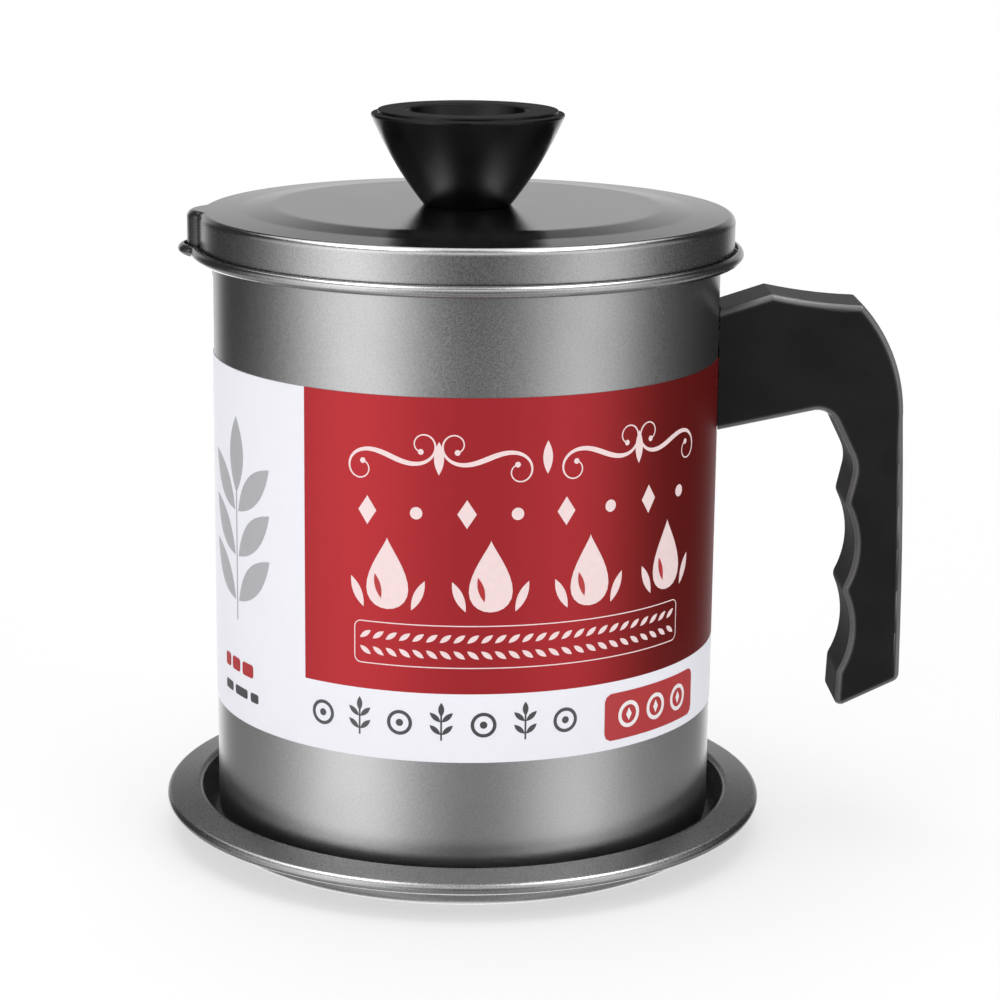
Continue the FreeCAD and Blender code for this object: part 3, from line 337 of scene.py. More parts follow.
class Marks:
    """Printed marks of one ink: thin closed solids wrapped on the paper.

    A stroke is a list of (along, up, half a width) in millimetres. Along counts round the paper
    from the angle that the mark is centred on, and up from the surface that the pot stands on.
    """

    def __init__(self, name, material, layer=0):
        self.name = name
        self.material = material
        self.rises = [rise + layer * INK_RISE[1] for rise in INK_RISE]
        self.points = []
        self.faces = []

    def wrap(self, turn, along, up, rise):
        angle = math.radians(turn) + along * MM / PAPER_RADIUS
        radius = PAPER_RADIUS + rise
        return (radius * math.cos(angle), radius * math.sin(angle), up * MM)

    def stroke(self, turn, path, closed=False):
        first = len(self.points)
        count = len(path)
        widest = max(half for _, _, half in path)
        lanes = max(1, math.ceil(2 * widest / LANE))
        sides = [1 - 2 * lane / lanes for lane in range(lanes + 1)]
        under, over = self.rises
        section = [(side, under) for side in sides] + [(side, over) for side in reversed(sides)]
        for index, (along, up, half) in enumerate(path):
            before = path[index - 1] if closed or index else path[0]
            after = path[(index + 1) % count] if closed or index + 1 < count else path[-1]
            run, climb = after[0] - before[0], after[1] - before[1]
            length = math.hypot(run, climb)
            across, upward = -climb / length * half, run / length * half
            for side, rise in section:
                self.points.append(self.wrap(turn, along + side * across, up + side * upward, rise))
        size = len(section)
        for index in range(count if closed else count - 1):
            here = first + size * index
            there = first + size * ((index + 1) % count)
            for corner in range(size):
                other = (corner + 1) % size
                self.faces.append((here + corner, here + other, there + other, there + corner))
        if not closed:
            for end in (first, first + size * (count - 1)):
                for lane in range(lanes):
                    low, high = end + lane, end + size - 1 - lane
                    self.faces.append((low, low + 1, high - 1, high))

    def blade(self, turn, along, up, length, tilt, profile):
        """A filled shape along a straight line, centred on a place, with half widths by profile(0 to 1)."""
        run, climb = math.cos(math.radians(tilt)), math.sin(math.radians(tilt))
        path = []
        for step in range(STEPS + 1):
            share = (1 - math.cos(math.pi * step / STEPS)) / 2
            offset = (share - 0.5) * length
            path.append((along + offset * run, up + offset * climb, max(HAIR, profile(share))))
        self.stroke(turn, path)

    def dot(self, turn, along, up, radius):
        def half(share):
            return 2 * radius * math.sqrt(share * (1 - share))
        self.blade(turn, along, up, 2 * radius, 0, half)

    def leaf(self, turn, along, up, length, width, tilt):
        self.blade(turn, along, up, length, tilt, lambda share: 2 * width * share * (1 - share))

    def lozenge(self, turn, along, up, length, width):
        self.blade(turn, along, up, length, 90, lambda share: width * min(share, 1 - share))

    def drop(self, turn, along, up, length, width):
        """A drop with its point upwards."""
        def half(share):
            return 1.4 * width * math.sqrt(share) * (1 - share) ** 1.2
        self.blade(turn, along, up, length, 90, half)

    def bar(self, turn, along, up, length, height, corner, tilt=0):
        """A filled bar with rounded corners."""
        def half(share):
            near = min(share, 1 - share) * length
            if near >= corner:
                return height / 2
            return height / 2 - corner + math.sqrt(corner ** 2 - (corner - near) ** 2)
        self.blade(turn, along, up, length, tilt, half)

    def ring(self, turn, along, up, radius, half):
        path = []
        for step in range(2 * STEPS):
            angle = math.pi * step / STEPS
            path.append((along + radius * math.cos(angle), up + radius * math.sin(angle), half))
        self.stroke(turn, path, closed=True)

    def box(self, turn, along, up, length, height, corner, half):
        """An outline with rounded corners."""
        path = []
        reach, rise = length / 2 - corner, height / 2 - corner
        for quarter, (side, over) in enumerate(((1, 1), (-1, 1), (-1, -1), (1, -1))):
            for step in range(CORNER_STEPS + 1):
                angle = math.pi / 2 * (quarter + step / CORNER_STEPS)
                path.append((along + side * reach + corner * math.cos(angle),
                             up + over * rise + corner * math.sin(angle), half))
        steps = int(length / BOX_STEP)
        runs = [reach - 2 * reach * step / steps for step in range(1, steps)]
        first = CORNER_STEPS + 1
        path[first:first] = [(along + run, up + height / 2, half) for run in runs]
        path[-first:-first] = [(along - run, up - height / 2, half) for run in runs]
        self.stroke(turn, path, closed=True)

    def scroll(self, turn, along, up, size, tilt, mirror, half):
        """A double spiral, whose bend grows evenly from its middle to both its ends."""
        arm = [(0.0, 0.0)]
        step_length = SCROLL_REACH / SCROLL_STEPS
        for step in range(SCROLL_STEPS):
            heading = ((step + 0.5) * step_length) ** 2 / 2
            x, y = arm[-1]
            arm.append((x + math.cos(heading) * step_length, y + math.sin(heading) * step_length))
        whole = [(-x, -y) for x, y in reversed(arm[1:])] + arm
        run, climb = math.cos(math.radians(tilt)), math.sin(math.radians(tilt))
        path = []
        for index, (x, y) in enumerate(whole):
            share = index / (len(whole) - 1)
            swell = half * (0.25 + 0.75 * math.sin(math.pi * share) ** 4)
            path.append((
                along + mirror * size * (x * run - y * climb), up + size * (x * climb + y * run), swell))
        self.stroke(turn, path)
        for x, y, _ in (path[0], path[-1]):
            self.dot(turn, x, y, half * 1.1)

    def finish(self):
        mesh = add_piece(self.name, self.points, self.faces, self.material, "pot")
        build = bmesh.new()
        build.from_mesh(mesh)
        bmesh.ops.recalc_face_normals(build, faces=build.faces)
        build.to_mesh(mesh)
        build.free()


# Angles of the middle of what is printed, in degrees round the pot.
PANEL_MIDDLE = -75.6
BAND_MIDDLE = -96.2
BADGE_MIDDLE = -44.0
SIDE_MIDDLES = (-152.0, 132.0, 90.0, 48.0)

# Rows of print, by their height over the surface that the pot stands on, in millimetres.
SCROLL_ROW = 111.0
LOZENGE_ROW = 97.6
DROP_ROW = 82.4
GARLAND_ROW = 65.0
SPRIG_FOOT = 62.0
RED_BARS_ROW = 50.2
RING_ROW = 45.6
BADGE_ROW = 44.3
GREY_BARS_ROW = 43.6


def print_panel(white, red):
    """Scrolls, a row of lozenges, four drops and a framed garland of leaves, in pale ink on the red."""
    for along, mirror in ((-35.5, 1), (-12.5, -1), (16.5, 1), (38.5, -1)):
        white.scroll(PANEL_MIDDLE, along, SCROLL_ROW, 6.6, -22, mirror, 0.62)
    for along in (-24.0, 2.0, 27.5):
        white.leaf(PANEL_MIDDLE, along, SCROLL_ROW, 8.0, 2.4, 90)
    for step in range(8):
        along = -41.5 + 12.1 * step
        if step % 2:
            white.dot(PANEL_MIDDLE, along, LOZENGE_ROW, 1.5)
        else:
            white.lozenge(PANEL_MIDDLE, along, LOZENGE_ROW, 7.0, 4.6)
    for along in (-36.5, -11.5, 13.5, 38.5):
        white.drop(PANEL_MIDDLE, along, DROP_ROW, 17.5, 10.5)
        red.leaf(PANEL_MIDDLE, along - 2.3, DROP_ROW - 3.2, 6.2, 1.5, 105)
        for side in (-1, 1):
            white.leaf(PANEL_MIDDLE, along + side * 7.6, DROP_ROW - 5.0, 8.0, 2.2, 90 - side * 24)
    white.box(PANEL_MIDDLE, -0.8, GARLAND_ROW, 88.0, 10.4, 1.6, 0.13)
    for step in range(26):
        along = -42.0 + 3.3 * step
        for side in (1, -1):
            white.leaf(PANEL_MIDDLE, along, GARLAND_ROW + side * 2.0, 3.4, 1.25, side * 35)


def print_band(grey, red, white):
    """Rings and sprigs in grey below the panel, and a red badge with three rings."""
    for step in range(7):
        along = -30.6 + 10.2 * step
        if step % 2:
            sprig(grey, BAND_MIDDLE, along, RING_ROW - 4.0, 8.4, 2, 0.35)
        else:
            grey.ring(BAND_MIDDLE, along, RING_ROW, 2.7, 0.42)
            grey.dot(BAND_MIDDLE, along, RING_ROW, 0.9)
    red.bar(BADGE_MIDDLE, 0, BADGE_ROW, 34.0, 12.0, 2.0)
    for along in (-9.5, 0, 9.5):
        white.ring(BADGE_MIDDLE, along, BADGE_ROW, 2.9, 0.5)
        white.lozenge(BADGE_MIDDLE, along, BADGE_ROW, 3.2, 1.8)


def sprig(marks, turn, along, foot, height, pairs, half):
    """A stem with pairs of leaves and one at its tip."""
    top = foot + height * 0.75
    steps = 8
    levels = [foot + (top - foot) * step / steps for step in range(steps + 1)]
    marks.stroke(turn, [(along, level, half * 0.6) for level in levels])
    leaf = height * 0.42
    marks.leaf(turn, along, top + leaf * 0.4, leaf, leaf * 0.4, 90)
    for pair in range(pairs):
        level = foot + (top - foot) * (pair + 0.5) / pairs + leaf * 0.3
        for side in (-1, 1):
            marks.leaf(turn, along + side * leaf * 0.42, level, leaf, leaf * 0.36, 90 - side * 48)


def print_side(pale, grey, red):
    """Tall sprigs on the white part, each with short bars under it."""
    for turn in SIDE_MIDDLES:
        sprig(pale, turn, -1.0, SPRIG_FOOT, 46.0, 3, 0.5)
        for along, length in ((-7.5, 3.4), (-2.2, 4.6), (4.2, 5.4)):
            red.bar(turn, along, RED_BARS_ROW, length, 3.4, 0.8)
        for along, length in ((-6.8, 5.0), (0.6, 6.8), (7.4, 3.6)):
            grey.bar(turn, along, GREY_BARS_ROW, length, 2.4, 0.6)


pale_ink = Marks("print_pale", ink("ink_pale", (0.84, 0.66, 0.66)))
white_ink = Marks("print_white", ink("ink_white", (0.84, 0.80, 0.80)), layer=2)
grey_ink = Marks("print_grey", ink("ink_grey", (0.055, 0.055, 0.06)))
soft_ink = Marks("print_soft_grey", ink("ink_soft_grey", (0.42, 0.42, 0.44)))
red_ink = Marks("print_red", ink("ink_red", (0.42, 0.02, 0.024)), layer=1)
print_panel(pale_ink, red_ink)
print_band(grey_ink, red_ink, white_ink)
print_side(soft_ink, grey_ink, red_ink)
for marks in (pale_ink, white_ink, grey_ink, soft_ink, red_ink):
    marks.finish()


# ---------------------------------------------------------------- woven strainer

# Millimetres. The basket's own sizes are those of the CAD's strainer_mesh.
WIRE_PITCH = 1.6
WIRE_RADIUS = 0.14
WIRE_SIDES = 4
WEAVE_RISE = 0.119      # how far a wire's middle swings to each side of the weave
BASKET_SHEET = 0.5
BASKET_COLLAR = 5.0     # height of the upright part under the rim
BASKET_TAPER = 10.26    # how much smaller the radius is at the floor
BASKET_CORNER = 7.75    # middle radius between the floor and the wall
CORNER_BENDS = 6
NEAR = 1e-6             # lengths below this count as none


def basket_line():
    """The basket's middle surface, from the centre of its floor up to its rim: (radius, height) steps."""
    low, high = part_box("strainer_mesh")
    rim, floor = high.x / MM - BASKET_SHEET / 2, low.z / MM + BASKET_SHEET / 2
    collar = high.z / MM - BASKET_COLLAR
    turned = math.atan2(collar - floor, BASKET_TAPER)
    start = rim - BASKET_TAPER - BASKET_CORNER * math.tan(turned / 2)
    line = [(0.0, floor), (start, floor)]
    for step in range(1, CORNER_BENDS + 1):
        angle = turned * step / CORNER_BENDS
        line.append((
            start + BASKET_CORNER * math.sin(angle), floor + BASKET_CORNER * (1 - math.cos(angle))))
    line += [(rim, collar), (rim, high.z / MM)]
    return line


def make_basket():
    """Two sets of crossing wires, pressed from a flat square weave into the basket's shape."""
    line = basket_line()
    lengths = [0.0]
    for before, after in zip(line, line[1:]):
        lengths.append(lengths[-1] + math.dist(before, after))
    reach = lengths[-1]

    def pressed(across, over, rise):
        """Where a place of the flat weave ends up, with its height over the weave's middle."""
        distance = math.hypot(across, over)
        part = next(index for index in range(1, len(lengths)) if distance <= lengths[index] + NEAR)
        share = (distance - lengths[part - 1]) / (lengths[part] - lengths[part - 1])
        (r0, z0), (r1, z1) = line[part - 1], line[part]
        run = math.dist(line[part - 1], line[part])
        radius = r0 + (r1 - r0) * share + (z0 - z1) / run * rise
        height = z0 + (z1 - z0) * share + (r1 - r0) / run * rise
        if distance < NEAR:
            return Vector((0, 0, height)) * MM
        return Vector((across / distance * radius, over / distance * radius, height)) * MM

    points, faces = [], []
    count = int(reach / WIRE_PITCH)
    for turned in (False, True):
        for row in range(-count, count + 1):
            offset = (row + 0.5) * WIRE_PITCH
            if abs(offset) >= reach:
                continue
            half = math.sqrt(reach ** 2 - offset ** 2)
            steps = int(half / WIRE_PITCH)
            crossings = [-half] + [step * WIRE_PITCH for step in range(-steps, steps + 1)] + [half]
            path = []
            for index, along in enumerate(crossings):
                over = 1 if (row + index - steps + turned) % 2 else -1
                place = (offset, along) if turned else (along, offset)
                path.append(pressed(*place, over * WEAVE_RISE))
            add_wire(points, faces, path)
    mesh = add_piece("woven_basket", points, faces, FINISHES["mesh_steel"],
                     "strainer", node="strainer_mesh")
    for face in mesh.polygons:
        face.use_smooth = True


def add_wire(points, faces, path):
    """A closed tube with square ends along the path."""
    first = len(points)
    for index, place in enumerate(path):
        run = (path[min(index + 1, len(path) - 1)] - path[max(index - 1, 0)]).normalized()
        outward = Vector((place.x, place.y, 0.0))
        side = run.cross(outward if abs(run.z) > 0.5 else Vector((0, 0, 1))).normalized()
        top = side.cross(run)
        for corner in range(WIRE_SIDES):
            angle = 2 * math.pi * corner / WIRE_SIDES
            points.append(place + (side * math.cos(angle) + top * math.sin(angle)) * WIRE_RADIUS * MM)
    for index in range(len(path) - 1):
        here = first + WIRE_SIDES * index
        for corner in range(WIRE_SIDES):
            other = (corner + 1) % WIRE_SIDES
            ahead = here + WIRE_SIDES
            faces.append((here + other, here + corner, ahead + corner, ahead + other))
    last = first + WIRE_SIDES * (len(path) - 1)
    faces.append(tuple(range(first, first + WIRE_SIDES)))
    faces.append(tuple(range(last + WIRE_SIDES - 1, last - 1, -1)))


make_basket()


# ---------------------------------------------------------------- saucer and lid

# The saucer's and the lid's own sections, in finer steps than the frame's meshes, so that their rolled
# edges shine evenly. Millimetres.

POT_RADIUS = 64.1
LIP_REACH = 3.1         # how far the pouring lip stands out past the wall
LIP_TIP = 7.6           # radius of the lip's rounded tip
LIP_ROOT = 7.4          # radius of the hollow on each side of it

TRAY_SHEET = 0.7
TRAY_CURL = 1.5         # outside radius of the rolled edge
TRAY_TOP = 11.3         # height of the flange where it leaves the well
TRAY_DROP = 1.4         # how far the flange falls towards its edge
TRAY_FLANGE = 9.3       # from the top of the well's wall to the edge
TRAY_TAPER = 1.3        # how much smaller the well is at its floor
TRAY_CORNER = 3.4       # inside radius between the floor and the well's wall
TRAY_BEND = 1.3         # outside radius where the well turns into the flange
TRAY_RING = (36.0, 44.0, 1.6, 0.6)      # stiffening ring: inside, outside, width of a flank, height

LID_SHEET = 0.6
LID_WALL = 67.5         # outside radius of the lid's drum
LID_DRUM = 9.9          # height from the middle of the bead to the top's border
LID_EDGE = 1.9          # outside radius between the border and the drum
LID_CURL = 1.45         # outside radius of the rolled bead
LID_BORDER = 65.3       # radius where the flat border starts
LID_FOOT = (57.0, 0.5, 30.0)        # foot of the slope: radius, height over the border, rounding
LID_DISC = (49.0, 1.4, 20.0)        # top of the slope
LID_HOLE = 2.9          # radius of the hole for the knob's screw

STATIONS = 256          # round the pot
TIP_STATIONS = 24       # round the lip's tip
ROOT_STATIONS = 12      # round each of its hollows
BEND_STEPS = 8
ROLL_TURN = 15          # degrees of a rolled edge from one ring to the next
SUPPORT = 0.1           # how near a bend the extra rings lie that keep flat runs flat
LONG_RUN = 1.0          # runs longer than this get them
SHARP = math.radians(40)


def bent(corners):
    """A line through corners of (radius, height, rounding), each of them rounded by an arc."""
    line = []
    for index, (radius, height, rounding) in enumerate(corners):
        here = Vector((radius, height))
        if not rounding:
            line.append(here)
            continue
        before = (Vector(corners[index - 1][:2]) - here).normalized()
        after = (Vector(corners[index + 1][:2]) - here).normalized()
        half = before.angle(after) / 2
        middle = here + (before + after).normalized() * rounding / math.sin(half)
        first = (before * rounding / math.tan(half) + here - middle).normalized()
        last = (after * rounding / math.tan(half) + here - middle).normalized()
        for step in range(BEND_STEPS + 1):
            share = step / BEND_STEPS
            line.append(middle + (first * (1 - share) + last * share).normalized() * rounding)
    return line


def rolled(middle, radius, sheet, start, end):
    """A rolled edge's section: out along its inside from one angle to another, and back outside."""
    turn = ROLL_TURN if end > start else -ROLL_TURN
    there, back = range(start, end + turn, turn), range(end, start - turn, -turn)
    line = []
    for size, angles in ((radius - sheet, there), (radius, back)):
        for angle in degrees(*angles):
            line.append(middle + size * Vector((math.cos(angle), math.sin(angle))))
    return line


def supported(line):
    """The line with extra points close to both ends of its long runs."""
    whole = [line[0]]
    for before, after in zip(line, line[1:]):
        run = after - before
        if run.length < NEAR:
            continue
        if run.length > LONG_RUN:
            step = run.normalized() * SUPPORT
            whole += [before + step, after - step]
        whole.append(after)
    return whole


def plain_stations():
    """Places round a plain circle, each with the way that it faces."""
    turns = [2 * math.pi * (step + 0.5) / STATIONS for step in range(STATIONS)]
    ways = [Vector((math.cos(turn), math.sin(turn))) for turn in turns]
    return [(way * POT_RADIUS, way) for way in ways]


def lip_stations():
    """Places round the pot's wall and its pouring lip at -X, each with the way that it faces."""
    tip = POT_RADIUS + LIP_REACH - LIP_TIP
    far, near = POT_RADIUS + LIP_ROOT, LIP_TIP + LIP_ROOT
    root_x = -(far ** 2 - near ** 2 + tip ** 2) / (2 * tip)
    root_y = math.sqrt(far ** 2 - root_x ** 2)
    leave = math.atan2(root_y, root_x)
    join = math.atan2(root_y, root_x + tip)
    stations = []
    for middle, radius, start, end, steps, facing in (
            ((0, 0), POT_RADIUS, -leave, leave, STATIONS, 1),
            ((root_x, root_y), LIP_ROOT, leave - math.pi, join - math.pi, ROOT_STATIONS, -1),
            ((-tip, 0), LIP_TIP, join, 2 * math.pi - join, TIP_STATIONS, 1),
            ((root_x, -root_y), LIP_ROOT, math.pi - join, math.pi - leave, ROOT_STATIONS, -1)):
        for step in range(steps):
            angle = start + (end - start) * step / steps
            way = Vector((math.cos(angle), math.sin(angle)))
            stations.append((Vector(middle) + way * radius, way * facing))
    return stations


def press(name, node, body, stations, line, closed=False):
    """A pressed sheet: its section carried round the stations.

    Outside the lid's border the rings follow the stations' outline. Inside it they are plain circles,
    down to one point on the axis.
    """
    points, faces, rings = [], [], []
    for place in line:
        first = len(points)
        for base, facing in stations[:1] if place.x < NEAR else stations:
            if place.x > LID_BORDER + SUPPORT:
                spot = base + facing * (place.x - POT_RADIUS)
            else:
                spot = base.normalized() * place.x
            points.append(Vector((spot.x, spot.y, place.y)) * MM)
        rings.append(range(first, len(points)))
    for before, after in zip(rings, rings[1:] + rings[:1] if closed else rings[1:]):
        for step in range(len(stations)):
            corners = [ring[index % len(ring)] for ring, index in (
                (before, step), (before, step + 1), (after, step + 1), (after, step))]
            faces.append(tuple(dict.fromkeys(corners)))
    mesh = add_piece(name, points, faces, OWN_FINISHES[node], body, node)
    for face in mesh.polygons:
        face.use_smooth = True
    mesh.set_sharp_from_angle(angle=SHARP)


def make_tray():
    """The saucer: a ringed floor, a tapered wall, a sloping flange and a rolled edge."""
    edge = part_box("tray")[1].x / MM - TRAY_CURL
    well = edge + TRAY_CURL - TRAY_FLANGE
    floor = well - TRAY_TAPER
    edge_top = TRAY_TOP - TRAY_DROP
    sheet = TRAY_SHEET
    inside, outside, flank, rise = TRAY_RING
    ring = [(inside, 0), (inside + flank, rise), (outside - flank, rise), (outside, 0)]
    under = bent([(0, 0, 0)] + [(x, z, 0) for x, z in ring] + [
        (floor + sheet, 0, TRAY_CORNER + sheet), (well + sheet, TRAY_TOP - sheet, TRAY_BEND - sheet),
        (edge, edge_top - sheet, 0)])
    curl = rolled(Vector((edge, edge_top - TRAY_CURL)), TRAY_CURL, sheet, 90, -180)
    over = bent([(edge, edge_top, 0), (well, TRAY_TOP, TRAY_BEND), (floor, sheet, TRAY_CORNER)] + [
        (x, z + sheet, 0) for x, z in reversed(ring)] + [(0, sheet, 0)])
    press("pressed_tray", "tray", "tray", plain_stations(), supported(under + curl + over))


def make_lid():
    """The lid: a raised disc, a soft slope, a flat border, a drum and a rolled bead, open at its hole."""
    rise = LID_DISC[1]
    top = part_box("lid_shell")[1].z / MM - rise
    bead = top - LID_DRUM
    sheet = LID_SHEET
    slope = [(LID_HOLE, rise, 0), LID_DISC, LID_FOOT, (LID_BORDER, 0, 0), (LID_BORDER + 2 * SUPPORT, 0, 0)]
    upper = bent([(x, top + z, rounding) for x, z, rounding in slope] + [
        (LID_WALL, top, LID_EDGE), (LID_WALL, bead, 0)])
    curl = rolled(Vector((LID_WALL - sheet + LID_CURL, bead)), LID_CURL, sheet, 180, 450)
    lower = bent([(LID_WALL - sheet, bead, 0), (LID_WALL - sheet, top - sheet, LID_EDGE - sheet)] + [
        (x, top - sheet + z, rounding) for x, z, rounding in reversed(slope)])
    line = supported(upper + curl + lower)[::-1]
    press("pressed_lid", "lid_shell", "lid", lip_stations(), line, closed=True)


make_tray()
make_lid()


# ---------------------------------------------------------------- studio and camera

CAMERA_DISTANCE = 0.72432       # from the pot's axis, level
CAMERA_HEIGHT = 0.25908
CAMERA_SIDE = math.radians(1.5)     # turned from -Y towards -X
CAMERA_PITCH = math.radians(13.457)
CAMERA_ROLL = math.radians(0.457)
FOCAL_LENGTH = 103.79           # for a sensor 36 mm wide
PICTURE_SHIFT = 0.0351
LAMP_TARGET = Vector((0, 0, 0.09))


def make_camera():
    """The photograph's camera."""
    camera = bpy.data.objects.new("camera", bpy.data.cameras.new("camera"))
    bpy.context.scene.collection.objects.link(camera)
    camera.data.lens = FOCAL_LENGTH
    camera.data.shift_x = PICTURE_SHIFT
    place = Vector((0, -CAMERA_DISTANCE, CAMERA_HEIGHT))
    turn = Matrix.Rotation(-CAMERA_SIDE, 4, "Z")
    tilt = Matrix.Rotation(math.pi / 2 - CAMERA_PITCH, 4, "X")
    roll = Matrix.Rotation(CAMERA_ROLL, 4, "Z")
    camera.matrix_world = turn @ Matrix.Translation(place) @ tilt @ roll
    bpy.context.scene.camera = camera


def around(angle, distance, height):
    """A place round the pot, by its angle in degrees from the camera's side."""
    turn = math.radians(angle - 90) - CAMERA_SIDE
    return Vector((distance * math.cos(turn), distance * math.sin(turn), height))


def softbox(name, place, size, radiance):
    """An area light that points at the pot. Radiance 1 looks as bright as white paper.

    Shiny surfaces don't see it: they see the room's own softboxes, whose edges are softer.
    """
    light = bpy.data.lights.new(name, "AREA")
    light.shape = "RECTANGLE"
    light.size, light.size_y = size
    light.energy = radiance * math.pi * size[0] * size[1]
    lamp = bpy.data.objects.new(name, light)
    bpy.context.scene.collection.objects.link(lamp)
    aim = (LAMP_TARGET - place).to_track_quat("-Z", "Y")
    lamp.matrix_world = Matrix.LocRotScale(place, aim, None)
    lamp.visible_camera = False
    lamp.visible_glossy = False


def seen_rays(shading):
    """1 for the rays that show the studio: the camera's own, and those of shiny and clear surfaces."""
    path = shading.node("ShaderNodeLightPath").outputs
    shiny = shading.calculate("MAXIMUM", path["Is Glossy Ray"], path["Is Transmission Ray"])
    return path["Is Camera Ray"], shiny


# The room that shiny surfaces see, in degrees. Side angles count from the camera's side, towards +X, and
# lifts from the level. An edge is its middle and its width, and a part with a negative width lies below it.
LEFT_BOX = (-48, 23, 17)        # middle, and how fast it fades on each side
RIGHT_BOX = (53, 19, 17)
BOX_TOP = (40, -16)
TABLE_EDGE = (-16.3, -8)
TABLE_SHADE = (-30, -16)        # the part of the table that is nearest to the pot
WALL_FOOT = (10, 12)
WALL_SIDE = (105, -20)
BACKDROP_SIDE = (149, 14)
BACKDROP_TOP = (18, -8)
BACKDROP_FADE = (-8, 20)        # from its foot's level to its top's
GLOW_SIDE = (158, 26)           # the backdrop's brighter foot
GLOW_TOP = (-8, -3)

# The ceiling is flat, so its places are shares of its height: across, and along away from the camera.
CEILING_SIDE = (0.7, -0.4)
CEILING_BEHIND = (0.02, 1.1, 0.22)
CEILING_BEFORE = (-1.7, -0.7, 0.3)
STRIP_ACROSS = (0.45, 0.13, 0.13)
STRIP_ALONG = (0.03, 0.25, 0.25)
CEILING_RIM = (0.1, 0.05)       # the upward share of a direction at which the ceiling ends

# How bright they are, with white paper as 1.
LEFT_LEVEL = 1.84
RIGHT_LEVEL = 1.2
FRONT_LEVEL = 0.05              # all that lies between them
TABLE_LEVEL = 0.5
SHADE_LEVEL = -0.16             # what the nearest part of the table loses
TABLE_DIMS = 0.8                # share of the softboxes that is left over the table
SHADE_DIMS = 0.3                # and over its nearest part
WALL_LEVEL = 0.4
BACKDROP_LEVELS = (0.76, 0.32)  # at its foot and at its top
CEILING_LEVEL = 1.68
BEFORE_SHARE = 0.5              # of the ceiling's level, on the camera's side
STRIP_SHARE = 6.0               # of the ceiling's level


def room_brightness(room):
    """How bright the room is in each direction, with white paper as 1.

    A room with two tall softboxes beside the camera, a wall behind it that is dark low down, a white
    backdrop behind the pot, and a bright ceiling with two strip lights.
    """
    x, y, z = room.split(room.node("ShaderNodeTexCoord").outputs["Generated"])
    side = room.calculate("ARCTAN2", x, room.times(y, -1.0))
    away = room.calculate("ABSOLUTE", side)
    lift = room.calculate("ARCSINE", z)

    left = room.times(room.bell(side, *degrees(*LEFT_BOX)), LEFT_LEVEL)
    right = room.times(room.bell(side, *degrees(*RIGHT_BOX)), RIGHT_LEVEL)
    boxes = room.times(room.add(left, right), room.rise(lift, *degrees(*BOX_TOP)))
    table = room.rise(lift, *degrees(*TABLE_EDGE))
    shaded = room.rise(lift, *degrees(*TABLE_SHADE))
    boxes = room.times(
        boxes, room.change(table, 0, 1, 1.0, TABLE_DIMS), room.change(shaded, 0, 1, 1.0, SHADE_DIMS))
    wall = room.times(room.rise(lift, *degrees(*WALL_FOOT)), room.rise(away, *degrees(*WALL_SIDE)))
    front = room.add(
        boxes, FRONT_LEVEL, room.times(table, TABLE_LEVEL), room.times(shaded, SHADE_LEVEL),
        room.times(wall, WALL_LEVEL))

    behind = room.times(
        room.rise(away, *degrees(*BACKDROP_SIDE)), room.rise(lift, *degrees(*BACKDROP_TOP)),
        room.change(lift, *degrees(*BACKDROP_FADE), *BACKDROP_LEVELS))
    glow = room.times(room.rise(away, *degrees(*GLOW_SIDE)), room.rise(lift, *degrees(*GLOW_TOP)))
    backdrop = room.times(behind, room.add(glow, 1.0))

    upward = room.calculate("MAXIMUM", z, 0.05)
    across = room.calculate("ABSOLUTE", room.calculate("DIVIDE", x, upward))
    along = room.calculate("DIVIDE", y, upward)
    panels = room.times(room.rise(across, *CEILING_SIDE), room.add(
        room.between(along, *CEILING_BEHIND),
        room.times(room.between(along, *CEILING_BEFORE), BEFORE_SHARE)))
    strips = room.times(room.bell(across, *STRIP_ACROSS), room.bell(along, *STRIP_ALONG), STRIP_SHARE)
    ceiling = room.times(room.add(panels, strips), room.rise(z, *CEILING_RIM), CEILING_LEVEL)
    return room.add(front, backdrop, ceiling)


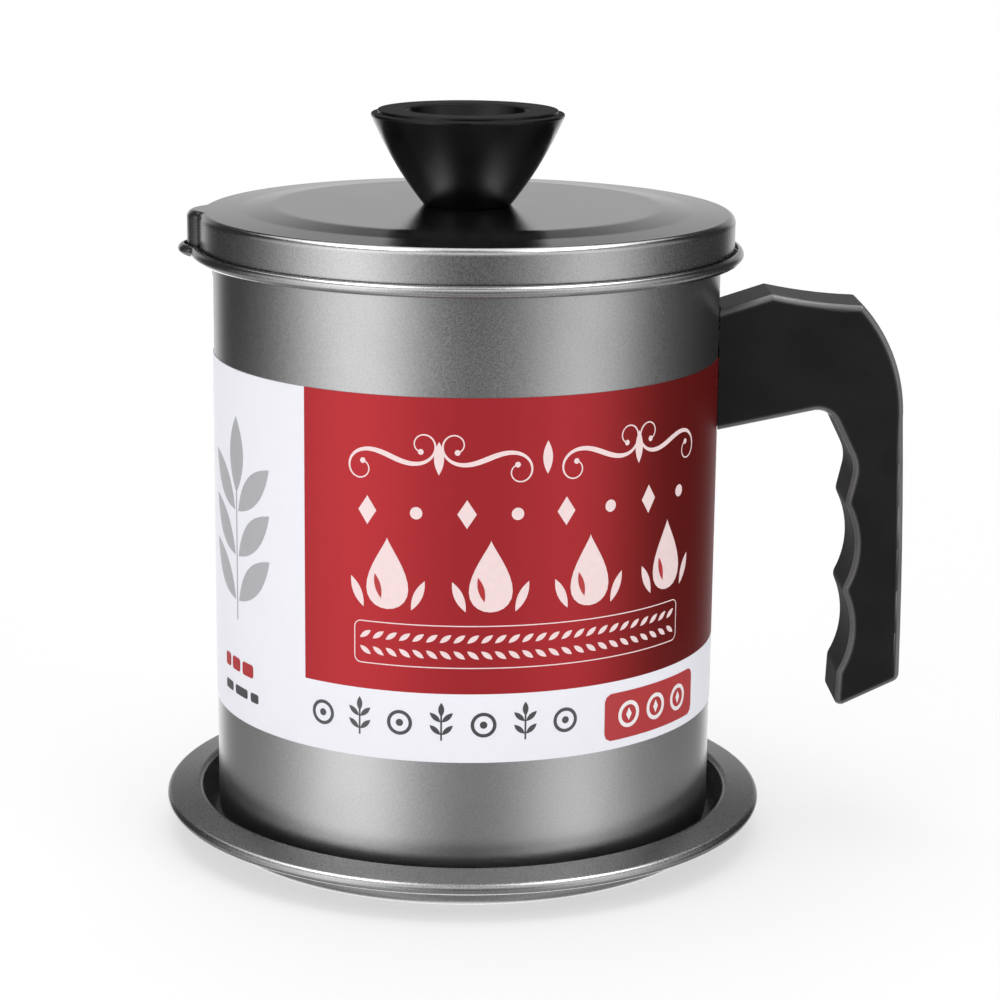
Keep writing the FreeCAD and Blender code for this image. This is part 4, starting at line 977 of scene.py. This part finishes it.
def make_world(ambient):
    """White where the camera sees it, the room where shiny surfaces see it, and an even light elsewhere."""
    world = bpy.data.worlds.new("studio")
    bpy.context.scene.world = world
    world.use_nodes = True
    world.node_tree.nodes.clear()
    room = Shading(world.node_tree)
    camera, shiny = seen_rays(room)
    strength = room.add(
        camera,
        room.times(shiny, room_brightness(room)),
        room.times(room.calculate("SUBTRACT", 1.0, room.add(camera, shiny)), ambient))
    light = room.node("ShaderNodeBackground", {"Color": (1, 1, 1, 1), "Strength": strength})
    room.node("ShaderNodeOutputWorld", {"Surface": light.outputs[0]})


FLOOR_SIZE = 12.0
FLOOR_CLEAR = 0.1       # how far from the pot's axis the floor shows its own light and the shadow
FLOOR_WHITE = 0.6       # where it has turned plain white
FLOOR_GLOW = 0.55       # how much of that white shows near the pot


def make_floor():
    """A pale floor that keeps the pot's shadow and turns white away from it."""
    mesh = bpy.data.meshes.new("floor")
    half = FLOOR_SIZE / 2
    corners = [(-half, -half, 0), (half, -half, 0), (half, half, 0), (-half, half, 0)]
    mesh.from_pydata(corners, [], [(0, 1, 2, 3)])
    floor = bpy.data.objects.new("floor", mesh)
    bpy.context.scene.collection.objects.link(floor)
    finish = Finish("floor", (0.93, 0.93, 0.93), Roughness=0.9, Specular_IOR_Level=0.0)
    distance = finish.node("ShaderNodeVectorMath", {0: finish.places}, operation="LENGTH").outputs["Value"]
    camera, shiny = seen_rays(finish)
    far = finish.change(distance, FLOOR_CLEAR, FLOOR_WHITE, FLOOR_GLOW, 1.0)
    white = finish.node("ShaderNodeEmission")
    surface = finish.node("ShaderNodeMixShader", {
        0: finish.times(far, finish.add(camera, shiny)), 1: finish.shader.outputs[0], 2: white.outputs[0]})
    finish.join(surface.outputs[0], finish.tree.nodes["Material Output"].inputs["Surface"])
    mesh.materials.append(finish.material)
    floor.visible_glossy = False


make_camera()
make_world(ambient=0.4)
make_floor()
softbox("key_left", around(-47, 0.9, 0.4), (0.8, 1.0), 1.4)
softbox("key_right", around(50, 0.9, 0.4), (0.7, 1.0), 1.35)
softbox("fill_behind", around(180, 1.1, 0.5), (0.9, 0.9), 0.9)
softbox("overhead", Vector((0, 0.1, 1.2)), (1.2, 1.2), 2.0)

bpy.context.scene.view_settings.view_transform = "Standard"
